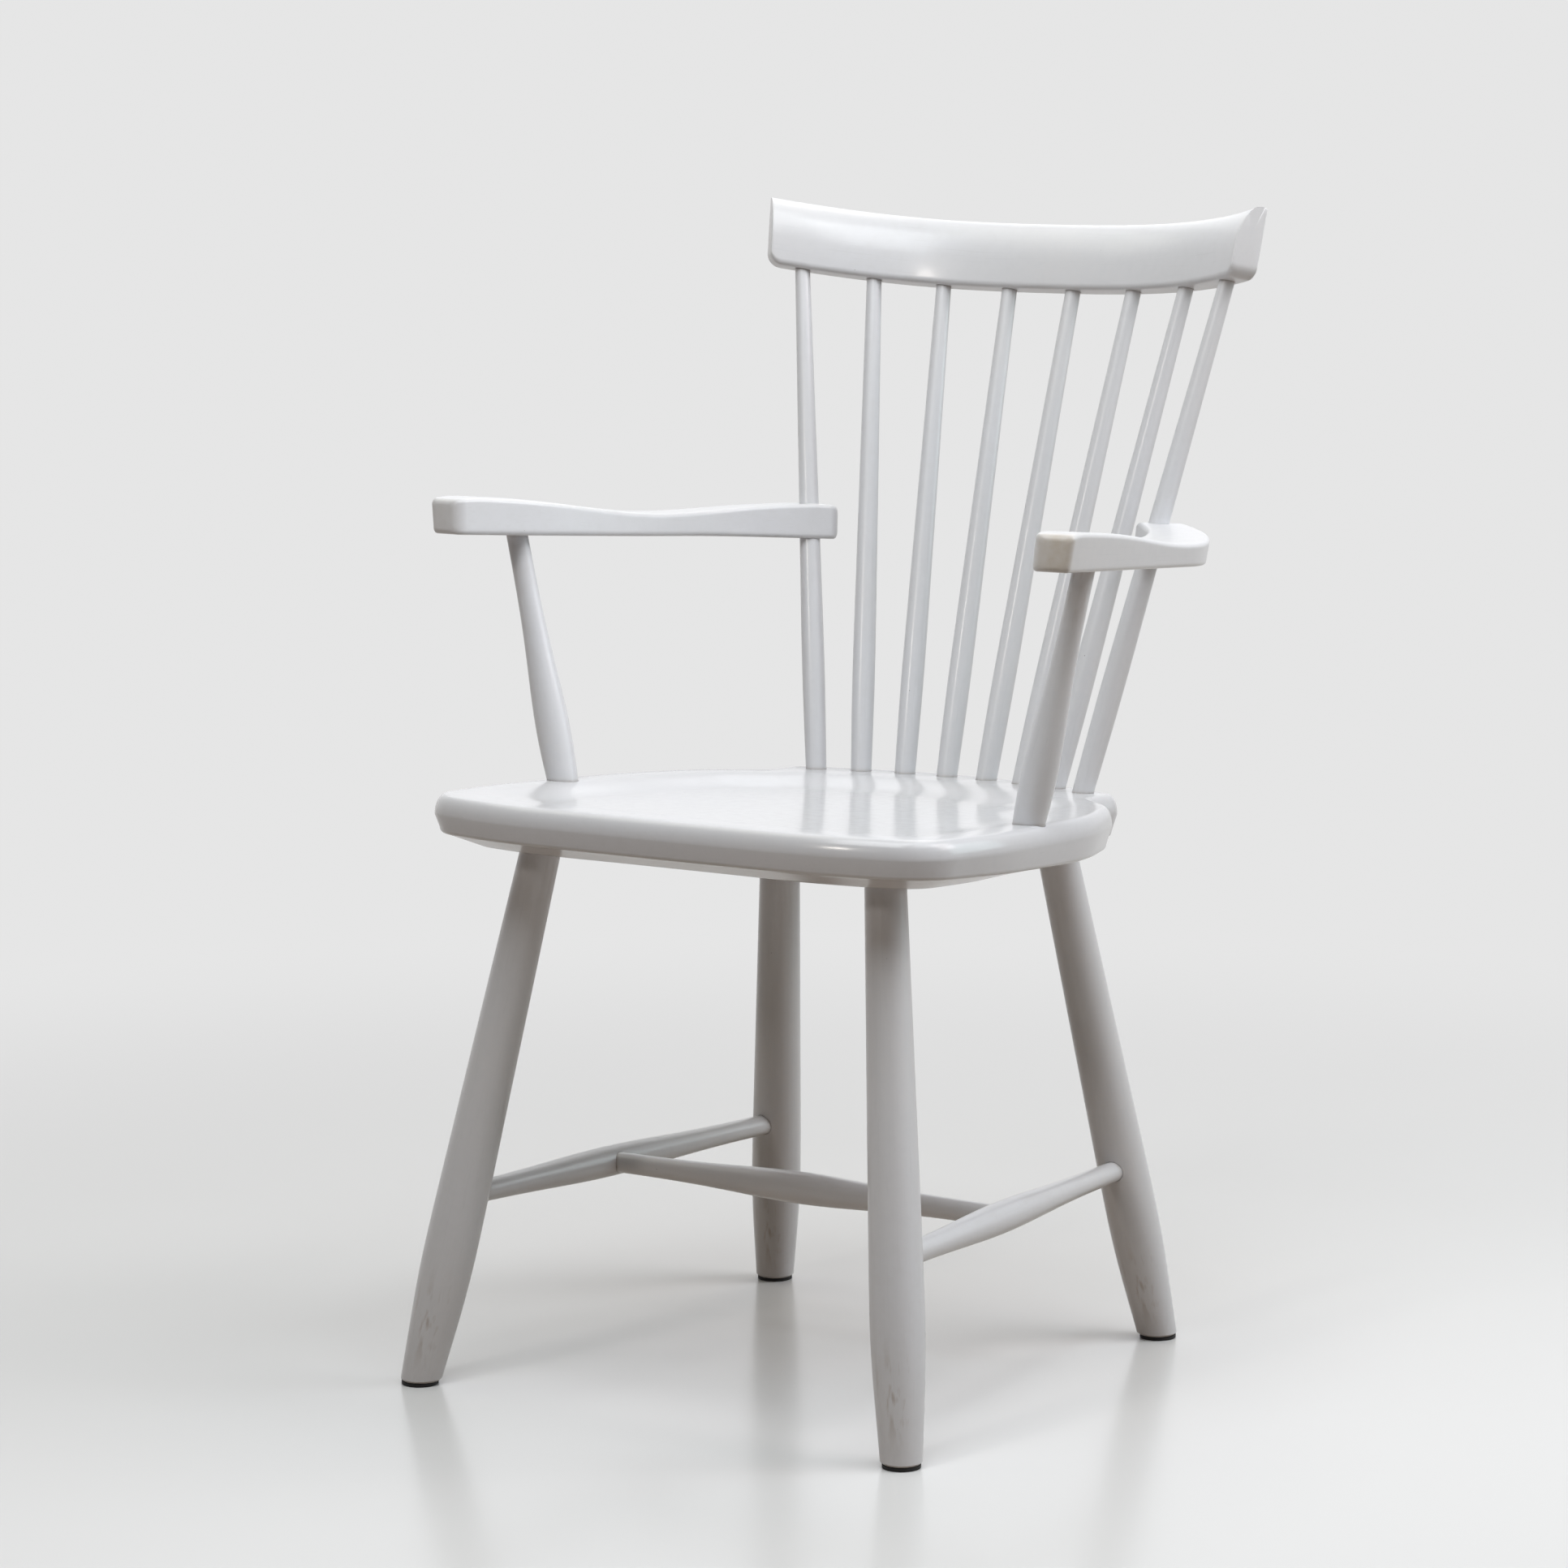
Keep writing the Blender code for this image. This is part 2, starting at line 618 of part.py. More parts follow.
def arm_section(outer, inner, outer_thickness, inner_thickness):
    """An arm's section as (distance in from the outer edge, height), both sides leaning outwards."""
    corners = [
        (outer, 0.0),
        (inner, 0.0),
        (inner - ARM_INNER_LEAN * inner_thickness, inner_thickness),
        (outer - ARM_OUTER_LEAN * outer_thickness, outer_thickness),
    ]
    radii = [ARM_UNDER_ROUND, ARM_UNDER_ROUND, ARM_TOP_ROUND, ARM_TOP_ROUND]
    points = []
    for i, radius in enumerate(radii):
        points += rounded_corner(corners[i - 1], corners[i], corners[(i + 1) % 4], radius, EDGE_STEPS)
    return np.array(points)


def arm_thickness(point, tail_point):
    """An arm's thickness at a plan point: a trough across the arm, ahead of the outer spindle."""
    along = Vector((-math.sin(ARM_SCOOP_TURN), math.cos(ARM_SCOOP_TURN)))
    place = ((point - tail_point).dot(along) + ARM_SCOOP_AHEAD) / ARM_SCOOP_SPREAD
    return ARM_END_THICKNESS - (ARM_END_THICKNESS - ARM_SCOOP_THICKNESS) * math.exp(-0.5 * place**2)


def make_arm(name, side, spindle, post, chair):
    """One arm: straight past the post, bent inwards, then straight on round the outer spindle."""
    place = arm_place(side)
    crossing = arm_crossing(side, spindle)
    local = place.inverted() @ crossing
    tail_point = Vector((side * local.x, local.y))
    tail_heading = Vector((-math.sin(ARM_BEND_ANGLE), math.cos(ARM_BEND_ANGLE)))
    tail_edge = tail_point + Vector((tail_heading.y, -tail_heading.x)) * ARM_SPINDLE_INSET
    tail_run = (tail_edge.x - ARM_POST_INSET) / tail_heading.x + ARM_TAIL_REACH
    meeting_y = tail_edge.y - (tail_run - ARM_TAIL_REACH) * tail_heading.y
    front_run = meeting_y + ARM_FRONT_REACH
    half_bend = math.tan(ARM_BEND_ANGLE / 2.0)
    reach = min(ARM_BEND_RADIUS * half_bend, ROUNDING_LIMIT * min(front_run, tail_run))
    radius = reach / half_bend
    bend_centre = Vector((ARM_POST_INSET - radius, meeting_y - reach))
    straight = front_run - reach
    length = front_run + tail_run - 2.0 * reach + radius * ARM_BEND_ANGLE

    near_end = ARM_INNER_CORNER * np.array(END_RING_SHARES)
    inside = np.linspace(ARM_INNER_CORNER, length - ARM_INNER_CORNER, ARM_STEPS + 1)
    rings = []
    for s in [*near_end, *inside, *(length - near_end[::-1])]:
        turned_by = np.clip((s - straight) / radius, 0.0, ARM_BEND_ANGLE)
        heading = Vector((-math.sin(turned_by), math.cos(turned_by)))
        inward = Vector((-heading.y, heading.x))
        past = s - straight - radius * turned_by
        edge = bend_centre - inward * radius + heading * past
        taper = ARM_FRONT_WIDTH + (ARM_TAIL_WIDTH - ARM_FRONT_WIDTH) * s / length
        width = taper + ARM_SWELL * math.sin(math.pi * s / length)
        to_end = min(s, length - s)
        outer = corner_inset(to_end, ARM_OUTER_CORNER)
        inner = width - corner_inset(to_end, ARM_INNER_CORNER)
        end_drop = ARM_END_DROP * np.clip(1.0 - to_end / ARM_END_DROP_REACH, 0.0, 1.0) ** 2
        section = arm_section(
            outer, inner,
            arm_thickness(edge + inward * outer, tail_point) - end_drop,
            arm_thickness(edge + inward * inner, tail_point) - end_drop)
        plan_x = edge.x + section[:, 0] * inward.x
        plan_y = edge.y + section[:, 0] * inward.y
        rings.append(np.column_stack([side * plan_x, plan_y, section[:, 1]]))
    arm = add_piece(name, skin(rings), place, FRAME_LACQUER, chair)
    drill(arm, [post.socket(at_head=True), spindle.passage(crossing)], chair)


def leg_stick(side, is_front):
    """One leg: from the floor to the seat's underside, splayed both ways."""
    if is_front:
        foot = Vector((side * FOOT_FRONT_HALF, FOOT_FRONT_Y, 0.0))
        head = Vector((side * LEG_FRONT_SEAT_HALF, LEG_FRONT_SEAT_Y, -SEAT_THICKNESS))
    else:
        foot = Vector((side * FOOT_BACK_HALF, FOOT_BACK_Y, 0.0))
        head = Vector((side * LEG_BACK_SEAT_HALF, LEG_BACK_SEAT_Y, -SEAT_THICKNESS))
    head = seat_place() @ head
    length = (head - foot).length
    upright = head.z / length

    def body(s):
        taper = LEG_TOP_RADIUS + LEG_TAPER * (length - s) * upright
        return soft_lower(taper, LEG_FOOT_RADIUS + LEG_ANKLE_FLARE * s * upright, LEG_BLEND)

    tenon = (LEG_SHOULDER_SINK, LEG_TENON, LEG_TENON_RADIUS)
    return Stick(foot, head, body, STICK_SIDES, STICK_STEPS, head=tenon)


def level_ring(stick, radius, height):
    """A ring of a stick, each point slid along the axis until the ring lies level at a height."""
    across_x, across_y, along, base = stick.place[2]
    ring = turned_rings([(0.0, radius)], stick.sides)[0]
    return [(x, y, (height - base - across_x * x - across_y * y) / along) for x, y, _ in ring]


def make_leg(name, stick, holes, chair):
    """One leg: its foot cut level above its glide, with a small chamfer, its head a round tenon."""
    foot = GLIDE_THICKNESS + FIT_GAP
    radius = float(stick.body(foot))
    rings = [
        level_ring(stick, radius - LEG_FOOT_CHAMFER, foot),
        level_ring(stick, radius, foot + LEG_FOOT_CHAMFER),
        *turned_rings(stick.rows(low=foot + LEG_FOOT_RADIUS), stick.sides),
    ]
    leg = add_piece(name, skin(rings), stick.place, FRAME_LACQUER, chair)
    drill(leg, holes, chair)


def leg_point(leg, height):
    """The point of a leg's axis at a height above the floor."""
    return leg.at(height / leg.end.z)


def side_stretcher_stick(front_leg, back_leg):
    """One side stretcher: between a front and a back leg, its ends stopping short of their axes."""
    front = leg_point(front_leg, STRETCHER_FRONT_Z)
    back = leg_point(back_leg, STRETCHER_BACK_Z)
    short = (back - front).normalized() * STRETCHER_SHORT_OF_AXIS
    length = (back - front).length

    def body(s):
        share = (s + STRETCHER_SHORT_OF_AXIS) / length
        return swelling(
            share, STRETCHER_END_RADIUS, STRETCHER_SWELL_RADIUS,
            STRETCHER_SWELL_PLACE, STRETCHER_SWELL_SPREAD)

    return Stick(front + short, back - short, body, STICK_SIDES, STICK_STEPS)


def cross_stretcher_stick(left, right):
    """The cross stretcher: between the side stretchers, shouldered round tenons at both ends."""
    start = left.at(CROSS_PLACE)
    end = right.at(CROSS_PLACE)
    span = (end - start).length
    set_in = (end - start).normalized() * (CROSS_SHORT_OF_AXIS + CROSS_TENON)

    def body(s):
        share = (s + set_in.length) / span
        return swelling(share, CROSS_END_RADIUS, CROSS_SWELL_RADIUS, CROSS_SWELL_PLACE, CROSS_SWELL_SPREAD)

    tenon = (0.0, CROSS_TENON, CROSS_TENON_RADIUS)
    return Stick(start + set_in, end - set_in, body, STICK_SIDES, STICK_STEPS, foot=tenon, head=tenon)


def nail_head_rows(gap=0.0):
    """Rows of a glide nail's head, let in flush with the top of the glide, or a gap larger."""
    radius = NAIL_HEAD_RADIUS + gap
    return [(GLIDE_THICKNESS - NAIL_HEAD - gap, radius), (GLIDE_THICKNESS + gap, radius)]


def nail_shank_rows(gap=0.0):
    """Rows of a glide nail's shank, from the top of the glide to its point, or a gap larger."""
    tip = GLIDE_THICKNESS + NAIL_SHANK + gap
    radius = NAIL_SHANK_RADIUS + gap
    return [(GLIDE_THICKNESS, radius), (tip - NAIL_POINT, radius), (tip, radius - NAIL_SHANK_RADIUS / 2.0)]


def make_glide(corner, foot, chair):
    """One foot glide, a thin disc with a let-in nail head, and the nail that holds it."""
    place = Matrix.Translation(foot)
    rows = [
        (0.0, GLIDE_RADIUS - GLIDE_CHAMFER),
        (GLIDE_CHAMFER, GLIDE_RADIUS),
        (GLIDE_THICKNESS, GLIDE_RADIUS),
    ]
    glide_shape = skin(turned_rings(rows, STICK_SIDES))
    glide = add_piece(f"glide_{corner}", glide_shape, place, BLACK_RUBBER, chair)
    drill(glide, [(place, nail_head_rows(FIT_GAP), NAIL_SIDES)], chair)
    nail_shape = skin(turned_rings([*nail_head_rows(), *nail_shank_rows()], NAIL_SIDES))
    add_piece(f"glide_nail_{corner}", nail_shape, place, NAIL_STEEL, chair)


def centre_depth(chair):
    """Moves the whole chair along Y until the middle of its depth is over the origin."""
    bpy.context.view_layer.update()
    pieces = [child for child in chair.children if not child.hide_render]
    depth = [(piece.matrix_world @ vertex.co).y for piece in pieces for vertex in piece.data.vertices]
    chair.location.y -= (min(depth) + max(depth)) / 2.0


def make_chair():
    """The whole chair, hung on one empty, with the middle of its depth over the origin."""
    clear_scene()
    chair = bpy.data.objects.new("chair", None)
    bpy.context.scene.collection.objects.link(chair)

    spindles = [spindle_stick(index) for index in range(SPINDLE_COUNT)]
    outer_spindles = {"left": spindles[0], "right": spindles[-1]}
    posts = {hand: post_stick(side) for hand, side in SIDES.items()}
    legs = {}
    stretchers = {}
    for hand, side in SIDES.items():
        legs[f"front_{hand}"] = leg_stick(side, is_front=True)
        legs[f"back_{hand}"] = leg_stick(side, is_front=False)
        stretchers[hand] = side_stretcher_stick(legs[f"front_{hand}"], legs[f"back_{hand}"])
    cross = cross_stretcher_stick(stretchers["left"], stretchers["right"])

    seat_holes = [stick.socket(at_head=False) for stick in [*spindles, *posts.values()]]
    seat_holes += [leg.socket(at_head=True) for leg in legs.values()]
    make_seat(seat_holes, chair)
    make_crest_rail([spindle.socket(at_head=True) for spindle in spindles], chair)

    sticks = {f"spindle_{number}": spindle for number, spindle in enumerate(spindles, 1)}
    sticks.update({f"arm_post_{hand}": post for hand, post in posts.items()})
    sticks["cross_stretcher"] = cross
    for name, stick in sticks.items():
        shape = skin(turned_rings(stick.rows(), stick.sides))
        add_piece(name, shape, stick.place, FRAME_LACQUER, chair)

    for hand, side in SIDES.items():
        make_arm(f"arm_{hand}", side, outer_spindles[hand], posts[hand], chair)
        stretcher = stretchers[hand]
        shape = skin(turned_rings(stretcher.rows(), stretcher.sides))
        bar = add_piece(f"side_stretcher_{hand}", shape, stretcher.place, FRAME_LACQUER, chair)
        drill(bar, [cross.socket(at_head=side > 0)], chair)

    for corner, leg in legs.items():
        end, hand = corner.split("_")
        nail_hole = (Matrix.Translation(leg.start), nail_shank_rows(FIT_GAP), NAIL_SIDES)
        make_leg(f"leg_{corner}", leg, [stretchers[hand].socket(at_head=end == "back"), nail_hole], chair)
        make_glide(corner, leg.start, chair)
    centre_depth(chair)


make_chair()
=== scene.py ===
# %% [markdown]
# # A painted spindle back armchair
#
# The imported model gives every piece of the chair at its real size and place. This lesson dresses it:
# each piece is made again as a fine numpy surface that follows the same sizes, is bored with the same
# sockets, and gets a painted, worn finish. Metres, +Z up, and the chair faces -Y.

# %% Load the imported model
import json
import math

import bpy
import numpy as np
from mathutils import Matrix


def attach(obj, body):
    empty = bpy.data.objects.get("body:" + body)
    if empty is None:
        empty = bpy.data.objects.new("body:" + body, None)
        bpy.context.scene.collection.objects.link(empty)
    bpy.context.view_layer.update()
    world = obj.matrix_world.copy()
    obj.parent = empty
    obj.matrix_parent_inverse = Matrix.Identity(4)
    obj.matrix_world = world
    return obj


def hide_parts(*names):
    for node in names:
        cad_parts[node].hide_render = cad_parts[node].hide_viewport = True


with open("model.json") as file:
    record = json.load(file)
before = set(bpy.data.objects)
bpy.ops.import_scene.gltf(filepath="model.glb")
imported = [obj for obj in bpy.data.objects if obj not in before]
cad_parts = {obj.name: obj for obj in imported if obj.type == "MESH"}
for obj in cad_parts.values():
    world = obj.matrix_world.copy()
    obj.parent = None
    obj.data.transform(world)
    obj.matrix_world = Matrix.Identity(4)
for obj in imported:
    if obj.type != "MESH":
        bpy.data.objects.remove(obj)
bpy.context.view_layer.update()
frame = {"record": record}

feet = {mount["name"][5:]: np.array(mount["pos_m"]) for mount in frame["record"]["mounts"]}
middle_y = float(np.mean([foot[1] for foot in feet.values()]))

# %% [markdown]
# ## The camera
#
# The chair is seen from its front, turned about a third of a right angle, from just above arm height and
# through a long lens, which keeps the legs nearly parallel. A camera in Blender looks along its own -Z,
# so it is first tipped up from straight down, less the angle it looks down by, and then turned about Z.

# %% Camera
CAMERA_PLACE = (2.1221, -3.3190, 0.9927)
CAMERA_LOOKS_DOWN = math.radians(8.02)
CAMERA_TURN = math.radians(33.4272)
CAMERA_LENS = 120.25
SENSOR_WIDTH = 36.0

scene = bpy.context.scene
camera_data = bpy.data.cameras.new("photo_camera")
camera_data.lens = CAMERA_LENS
camera_data.sensor_width = SENSOR_WIDTH
camera = bpy.data.objects.new("photo_camera", camera_data)
camera.location = CAMERA_PLACE
camera.rotation_euler = (math.pi / 2.0 - CAMERA_LOOKS_DOWN, 0.0, CAMERA_TURN)
scene.collection.objects.link(camera)
scene.camera = camera
scene.view_settings.view_transform = "Standard"
print("camera", camera.name, "lens", CAMERA_LENS, "mm")

# %% [markdown]
# ## Arrays into meshes
#
# Every surface here is a grid of points: rows run along the piece and columns run once around it. One
# helper closes such a grid into a solid. Working on whole arrays is quicker than adding one vertex at a
# time, and the same few lines then serve a seat, a rail and a nail. The signed volume tells whether the
# faces point outwards, so a mirrored piece can be turned right way round without looking at it.

# %% Close a grid
def close_grid(grid):
    """Points and faces of a solid from a grid (rows, columns, 3).

    Quads join each row to the next, the last column joins the first, and each end row is closed by a fan
    of triangles to the middle of that row. If the volume, a sixth of the sum of a . (b x c) over the
    triangles, comes out negative, every face is reversed.
    """
    rows, columns = grid.shape[:2]
    here = np.arange(rows * columns).reshape(rows, columns)
    beside = np.roll(here, -1, axis=1)
    quads = np.stack([here[:-1], beside[:-1], beside[1:], here[1:]], axis=-1).reshape(-1, 4)
    first = np.full(columns, rows * columns)
    fans = np.concatenate([
        np.stack([beside[0], here[0], first], axis=-1),
        np.stack([here[-1], beside[-1], first + 1], axis=-1),
    ])
    points = np.concatenate([grid.reshape(-1, 3), grid[[0, -1]].mean(axis=1)])
    triangles = np.concatenate([quads[:, :3], quads[:, [0, 2, 3]], fans])
    a, b, c = points[triangles].swapaxes(0, 1)
    if np.sum(a * np.cross(b, c)) < 0.0:
        quads = quads[:, ::-1]
        fans = fans[:, ::-1]
    return points, quads, fans


def with_ends(values):
    """Values of a grid (rows, columns, ...) as one list that also covers the two end middles."""
    flat = values.reshape(-1, *values.shape[2:])
    return np.concatenate([flat, values[[0, -1]].mean(axis=1)])


def new_mesh(name, solids):
    """One mesh that holds several closed solids, each given as points, quads and fans."""
    counts = np.cumsum([0] + [len(points) for points, _, _ in solids])
    faces = []
    for start, (_, quads, fans) in zip(counts, solids):
        faces += (quads + start).tolist() + (fans + start).tolist()
    mesh = bpy.data.meshes.new(name)
    mesh.from_pydata(np.concatenate([points for points, _, _ in solids]).tolist(), [], faces)
    return mesh


square = np.array([[0.0, 0.0], [1.0, 0.0], [1.0, 1.0], [0.0, 1.0]])
cube = np.stack([np.column_stack([square, np.full(4, height)]) for height in (0.0, 1.0)])
print("a closed cube has", [len(part) for part in close_grid(cube)], "points, quads and fan triangles")

# %% [markdown]
# ## Boring, smoothing and handing over
#
# A joiner bores each socket on the axis of the stick that goes into it. Here a socket is one more closed
# surface, and an exact Boolean takes it out of the piece. Four attributes ride along on the face corners,
# where the Boolean carries them over to the cut faces. Wood is the place in the piece's own timber, with
# the grain along its third axis. Rub says how much hands wear a spot. Scuff says how much shoes and fingers
# stain it, and on a post's top also how much of the arm's painted shadow it gets. The joint mark says how
# much painted shade darkens the thin line where two pieces meet.

# %% Make a piece of the chair
SHARP_EDGE = math.radians(35.0)


def bore(piece, sockets):
    """Takes every socket, given as a grid, out of a piece, and keeps the cut mesh."""
    cutter = bpy.data.objects.new("sockets", new_mesh("sockets", [close_grid(grid) for grid in sockets]))
    scene.collection.objects.link(cutter)
    cut = piece.modifiers.new("sockets", "BOOLEAN")
    cut.operation = "DIFFERENCE"
    cut.solver = "EXACT"
    cut.object = cutter
    evaluated = piece.evaluated_get(bpy.context.evaluated_depsgraph_get())
    whole = piece.data
    piece.data = bpy.data.meshes.new_from_object(evaluated)
    piece.modifiers.clear()
    bpy.data.meshes.remove(whole)
    bpy.data.objects.remove(cutter)


def make_piece(node, grid, wood, finish, sockets=(), **marks):
    """A finished piece that stands for one CAD node: a closed grid with its wood values and its marks.

    The finish knows its slot in the record. A mark that isn't given is nought all over.
    """
    solid = close_grid(grid)
    mesh = new_mesh(f"{node}_finished", [solid])
    corners = np.empty(len(mesh.loops), dtype=np.int32)
    mesh.loops.foreach_get("vertex_index", corners)
    mesh.attributes.new("wood", "FLOAT_VECTOR", "CORNER")
    mesh.attributes["wood"].data.foreach_set("vector", with_ends(wood)[corners].ravel())
    for mark in ("rub", "scuff", "grime"):
        values = with_ends(np.broadcast_to(marks.get(mark, 0.0), grid.shape[:2]))
        mesh.attributes.new(mark, "FLOAT", "CORNER")
        mesh.attributes[mark].data.foreach_set("value", values[corners].astype(np.float32))
    piece = bpy.data.objects.new(f"{node}_finished", mesh)
    scene.collection.objects.link(piece)
    if len(sockets):
        bore(piece, sockets)
    piece.data.shade_smooth()
    piece.data.set_sharp_from_angle(angle=SHARP_EDGE)
    piece.data.materials.clear()
    piece.data.materials.append(finish)
    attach(piece, "root")
    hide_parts(node)
    piece.data.calc_loop_triangles()
    print(f"{node}: {len(piece.data.loop_triangles)} triangles, {len(sockets)} sockets")


print("edges that turn by more than", round(math.degrees(SHARP_EDGE)), "degrees stay sharp")

# %% [markdown]
# ## Curves that the shapes share
#
# A turner's and a carver's shapes are made of a few kinds of curve: an S that starts and ends level, two
# slopes that meet in a soft shoulder, a bell-shaped swelling, and a rounded corner. Each is one line of
# arithmetic that works on arrays, so one call shapes a whole surface.

# %% Shared curves
ROUNDING_LIMIT = 0.45


def smooth_step(value):
    """0 below 0 and 1 above 1, with three squares less two cubes between, level at both ends."""
    held = np.clip(value, 0.0, 1.0)
    return held * held * (3.0 - 2.0 * held)


def soft_lower(a, b, blend):
    """The lower of two values, the corner between them rounded: less the log of the summed powers."""
    return -blend * np.logaddexp(-a / blend, -b / blend)


def swelling(share, end, swell, place, spread):
    """A radius that rises from its end value to its swell on a bell curve about its place."""
    return end + (swell - end) * np.exp(-0.5 * ((share - place) / spread) ** 2)


def corner_inset(reach, radius):
    """How far a round corner draws in at a reach from the end: radius less root(radius^2 - left^2)."""
    left = np.clip(radius - reach, 0.0, radius)
    return radius - np.sqrt(radius * radius - left * left)


def unit(vectors):
    """Vectors divided by their own lengths."""
    return vectors / np.linalg.norm(vectors, axis=-1, keepdims=True)


def rounded(before, corner, after, radius, steps):
    """Arcs that round the corners of an outline, for whole arrays of corners at once.

    An arc touches both sides at radius / tan(half the corner's angle), at most a share of the shorter
    side. Its middle lies on the bisector, and the first touching point turns about it to the last one.
    """
    back = unit(before - corner)
    ahead = unit(after - corner)
    half = np.arccos(np.sum(back * ahead, axis=-1, keepdims=True)) / 2.0
    shorter = np.minimum(
        np.linalg.norm(before - corner, axis=-1, keepdims=True),
        np.linalg.norm(after - corner, axis=-1, keepdims=True))
    reach = np.minimum(radius / np.tan(half), ROUNDING_LIMIT * shorter)
    middle = corner + unit(back + ahead) * reach / np.cos(half)
    first = corner + back * reach - middle
    last = corner + ahead * reach - middle
    cross = first[..., 0] * last[..., 1] - first[..., 1] * last[..., 0]
    sweep = np.arctan2(cross, np.sum(first * last, axis=-1))
    turn = sweep[..., None] * np.linspace(0.0, 1.0, steps + 1)
    x = first[..., :1] * np.cos(turn) - first[..., 1:] * np.sin(turn)
    y = first[..., :1] * np.sin(turn) + first[..., 1:] * np.cos(turn)
    return middle[..., None, :] + np.stack([x, y], axis=-1)


def turn_about_x(angle):
    """The 3 x 3 array that turns points about X."""
    c, s = math.cos(angle), math.sin(angle)
    return np.array([[1.0, 0.0, 0.0], [0.0, c, -s], [0.0, s, c]])


def turn_about_z(angle):
    """The 3 x 3 array that turns points about Z."""
    c, s = math.cos(angle), math.sin(angle)
    return np.array([[c, -s, 0.0], [s, c, 0.0], [0.0, 0.0, 1.0]])


print("a smooth step in quarters", smooth_step(np.linspace(0.0, 1.0, 5)).tolist())

# %% [markdown]
# ## Building blocks for finishes
#
# A procedural finish is a small tree of nodes: a noise, a range that it is carried to, a colour laid over
# another, and a height that tips the surface. Short helpers for these keep a finish readable, like a
# recipe, and every finish of the chair is then written in the same few words.

# %% Node helpers
def link(tree, source, target):
    """Links two sockets of a node tree."""
    tree.links.new(source, target)


def add_node(tree, kind, **settings):
    """A new node with its settings. Keys that name an input socket set that socket."""
    node = tree.nodes.new(kind)
    for key, value in settings.items():
        if key in node.inputs:
            node.inputs[key].default_value = value
        else:
            setattr(node, key, value)
    return node


def new_finish(name):
    """A new material for a slot of the record, with its node tree, its shader and Object coordinates."""
    material = bpy.data.materials.new(name)
    material["slot"] = name
    material.use_nodes = True
    tree = material.node_tree
    place = add_node(tree, "ShaderNodeTexCoord").outputs["Object"]
    return material, tree, tree.nodes["Principled BSDF"], place


def attribute(tree, name, output):
    """The socket of an attribute that the mesh carries."""
    return add_node(tree, "ShaderNodeAttribute", attribute_name=name).outputs[output]


def noise(tree, vector, scale, detail):
    """Noise with so many features a metre on a vector socket."""
    node = add_node(tree, "ShaderNodeTexNoise", Scale=scale, Detail=detail)
    link(tree, vector, node.inputs["Vector"])
    return node.outputs["Fac"]


def stretched(tree, vector, share):
    """A vector whose third axis counts for only a share, so that noise on it runs along the grain."""
    node = add_node(tree, "ShaderNodeMapping", Scale=(1.0, 1.0, share))
    link(tree, vector, node.inputs["Vector"])
    return node.outputs["Vector"]


def carried(tree, value, low, high, to_low=0.0, to_high=1.0):
    """A value carried from one range to another on a straight line, and held at both ends."""
    node = add_node(tree, "ShaderNodeMapRange")
    for name, limit in (("From Min", low), ("From Max", high), ("To Min", to_low), ("To Max", to_high)):
        node.inputs[name].default_value = limit
    link(tree, value, node.inputs["Value"])
    return node.outputs["Result"]


def reckon(tree, operation, a, b):
    """The sum, product or other result of two sockets, held between 0 and 1."""
    node = add_node(tree, "ShaderNodeMath", operation=operation, use_clamp=True)
    link(tree, a, node.inputs[0])
    link(tree, b, node.inputs[1])
    return node.outputs["Value"]


def covered(tree, share, under, over):
    """A colour with another laid over it by a share. Each is a socket or three numbers."""
    node = add_node(tree, "ShaderNodeMix", data_type="RGBA")
    link(tree, share, node.inputs["Factor"])
    for name, colour in (("A", under), ("B", over)):
        if isinstance(colour, tuple):
            node.inputs[name].default_value = (*colour, 1.0)
        else:
            link(tree, colour, node.inputs[name])
    return node.outputs["Result"]


def bumped(tree, height, strength, distance, normal=None):
    """A normal tipped by a height, on top of another normal if one is given."""
    node = add_node(tree, "ShaderNodeBump", Strength=strength, Distance=distance)
    link(tree, height, node.inputs["Height"])
    if normal:
        link(tree, normal, node.inputs["Normal"])
    return node.outputs["Normal"]


print("finish helpers ready")

# %% [markdown]
# ## The finish: sprayed lacquer over wood
#
# The chair is sprayed in a light cool grey. Up close the paint isn't flat: it has a faint orange peel, the
# pores of the wood telegraph through it along the grain, its tone drifts a little, dust specks sit in it,
# and handled ends turn a warm greige. Painted shade is laid into the colour as well: a thin brown line
# where two pieces meet, and the arm's shadow on the top of each post, mixed there with a brown stain. A
# picture could hold that, but nodes work on every side of every piece. The drift sits on Object
# coordinates, the grain on the wood attribute, and the attributes of the mesh say where wear, scuffs and
# painted shade belong. Noise breaks them up.

# %% Lacquer
DRIFT_SCALE = 5.0
DRIFT_RANGE = (0.35, 0.65)
DRIFT_WARM = (0.995, 0.987, 0.976)
DRIFT_COOL = (1.0, 1.003, 1.010)
MOTTLE_SCALE = 130.0
MOTTLE_RANGE = (0.45, 0.75)
MOTTLE_SHADE = 0.976
GRAIN_SCALE = 700.0
GRAIN_STRETCH = 0.035
PORE_RANGE = (0.58, 0.78)
PORE_SHADE = 0.950
STREAK_SCALE = 160.0
STREAK_STRETCH = 0.22
STREAK_RANGE = (0.30, 0.70)
STREAK_WEAR = (0.80, 1.12)
SCRAPE_RANGE = (0.52, 0.64)
SPECK_SCALE = 125.0
SPECK_REACH = 0.055
SPECK_KEPT = 0.955
SPECK_COLOUR = (0.10, 0.085, 0.07)
SPECK_BUMP = 0.2
SPECK_HEIGHT = 0.0003
PEEL_SCALE = 300.0
PEEL_BUMP = 0.015
PEEL_HEIGHT = 0.0008
GRAIN_BUMP = 0.012
GRAIN_HEIGHT = 0.0006
WORN_COLOUR = (0.50, 0.445, 0.375)
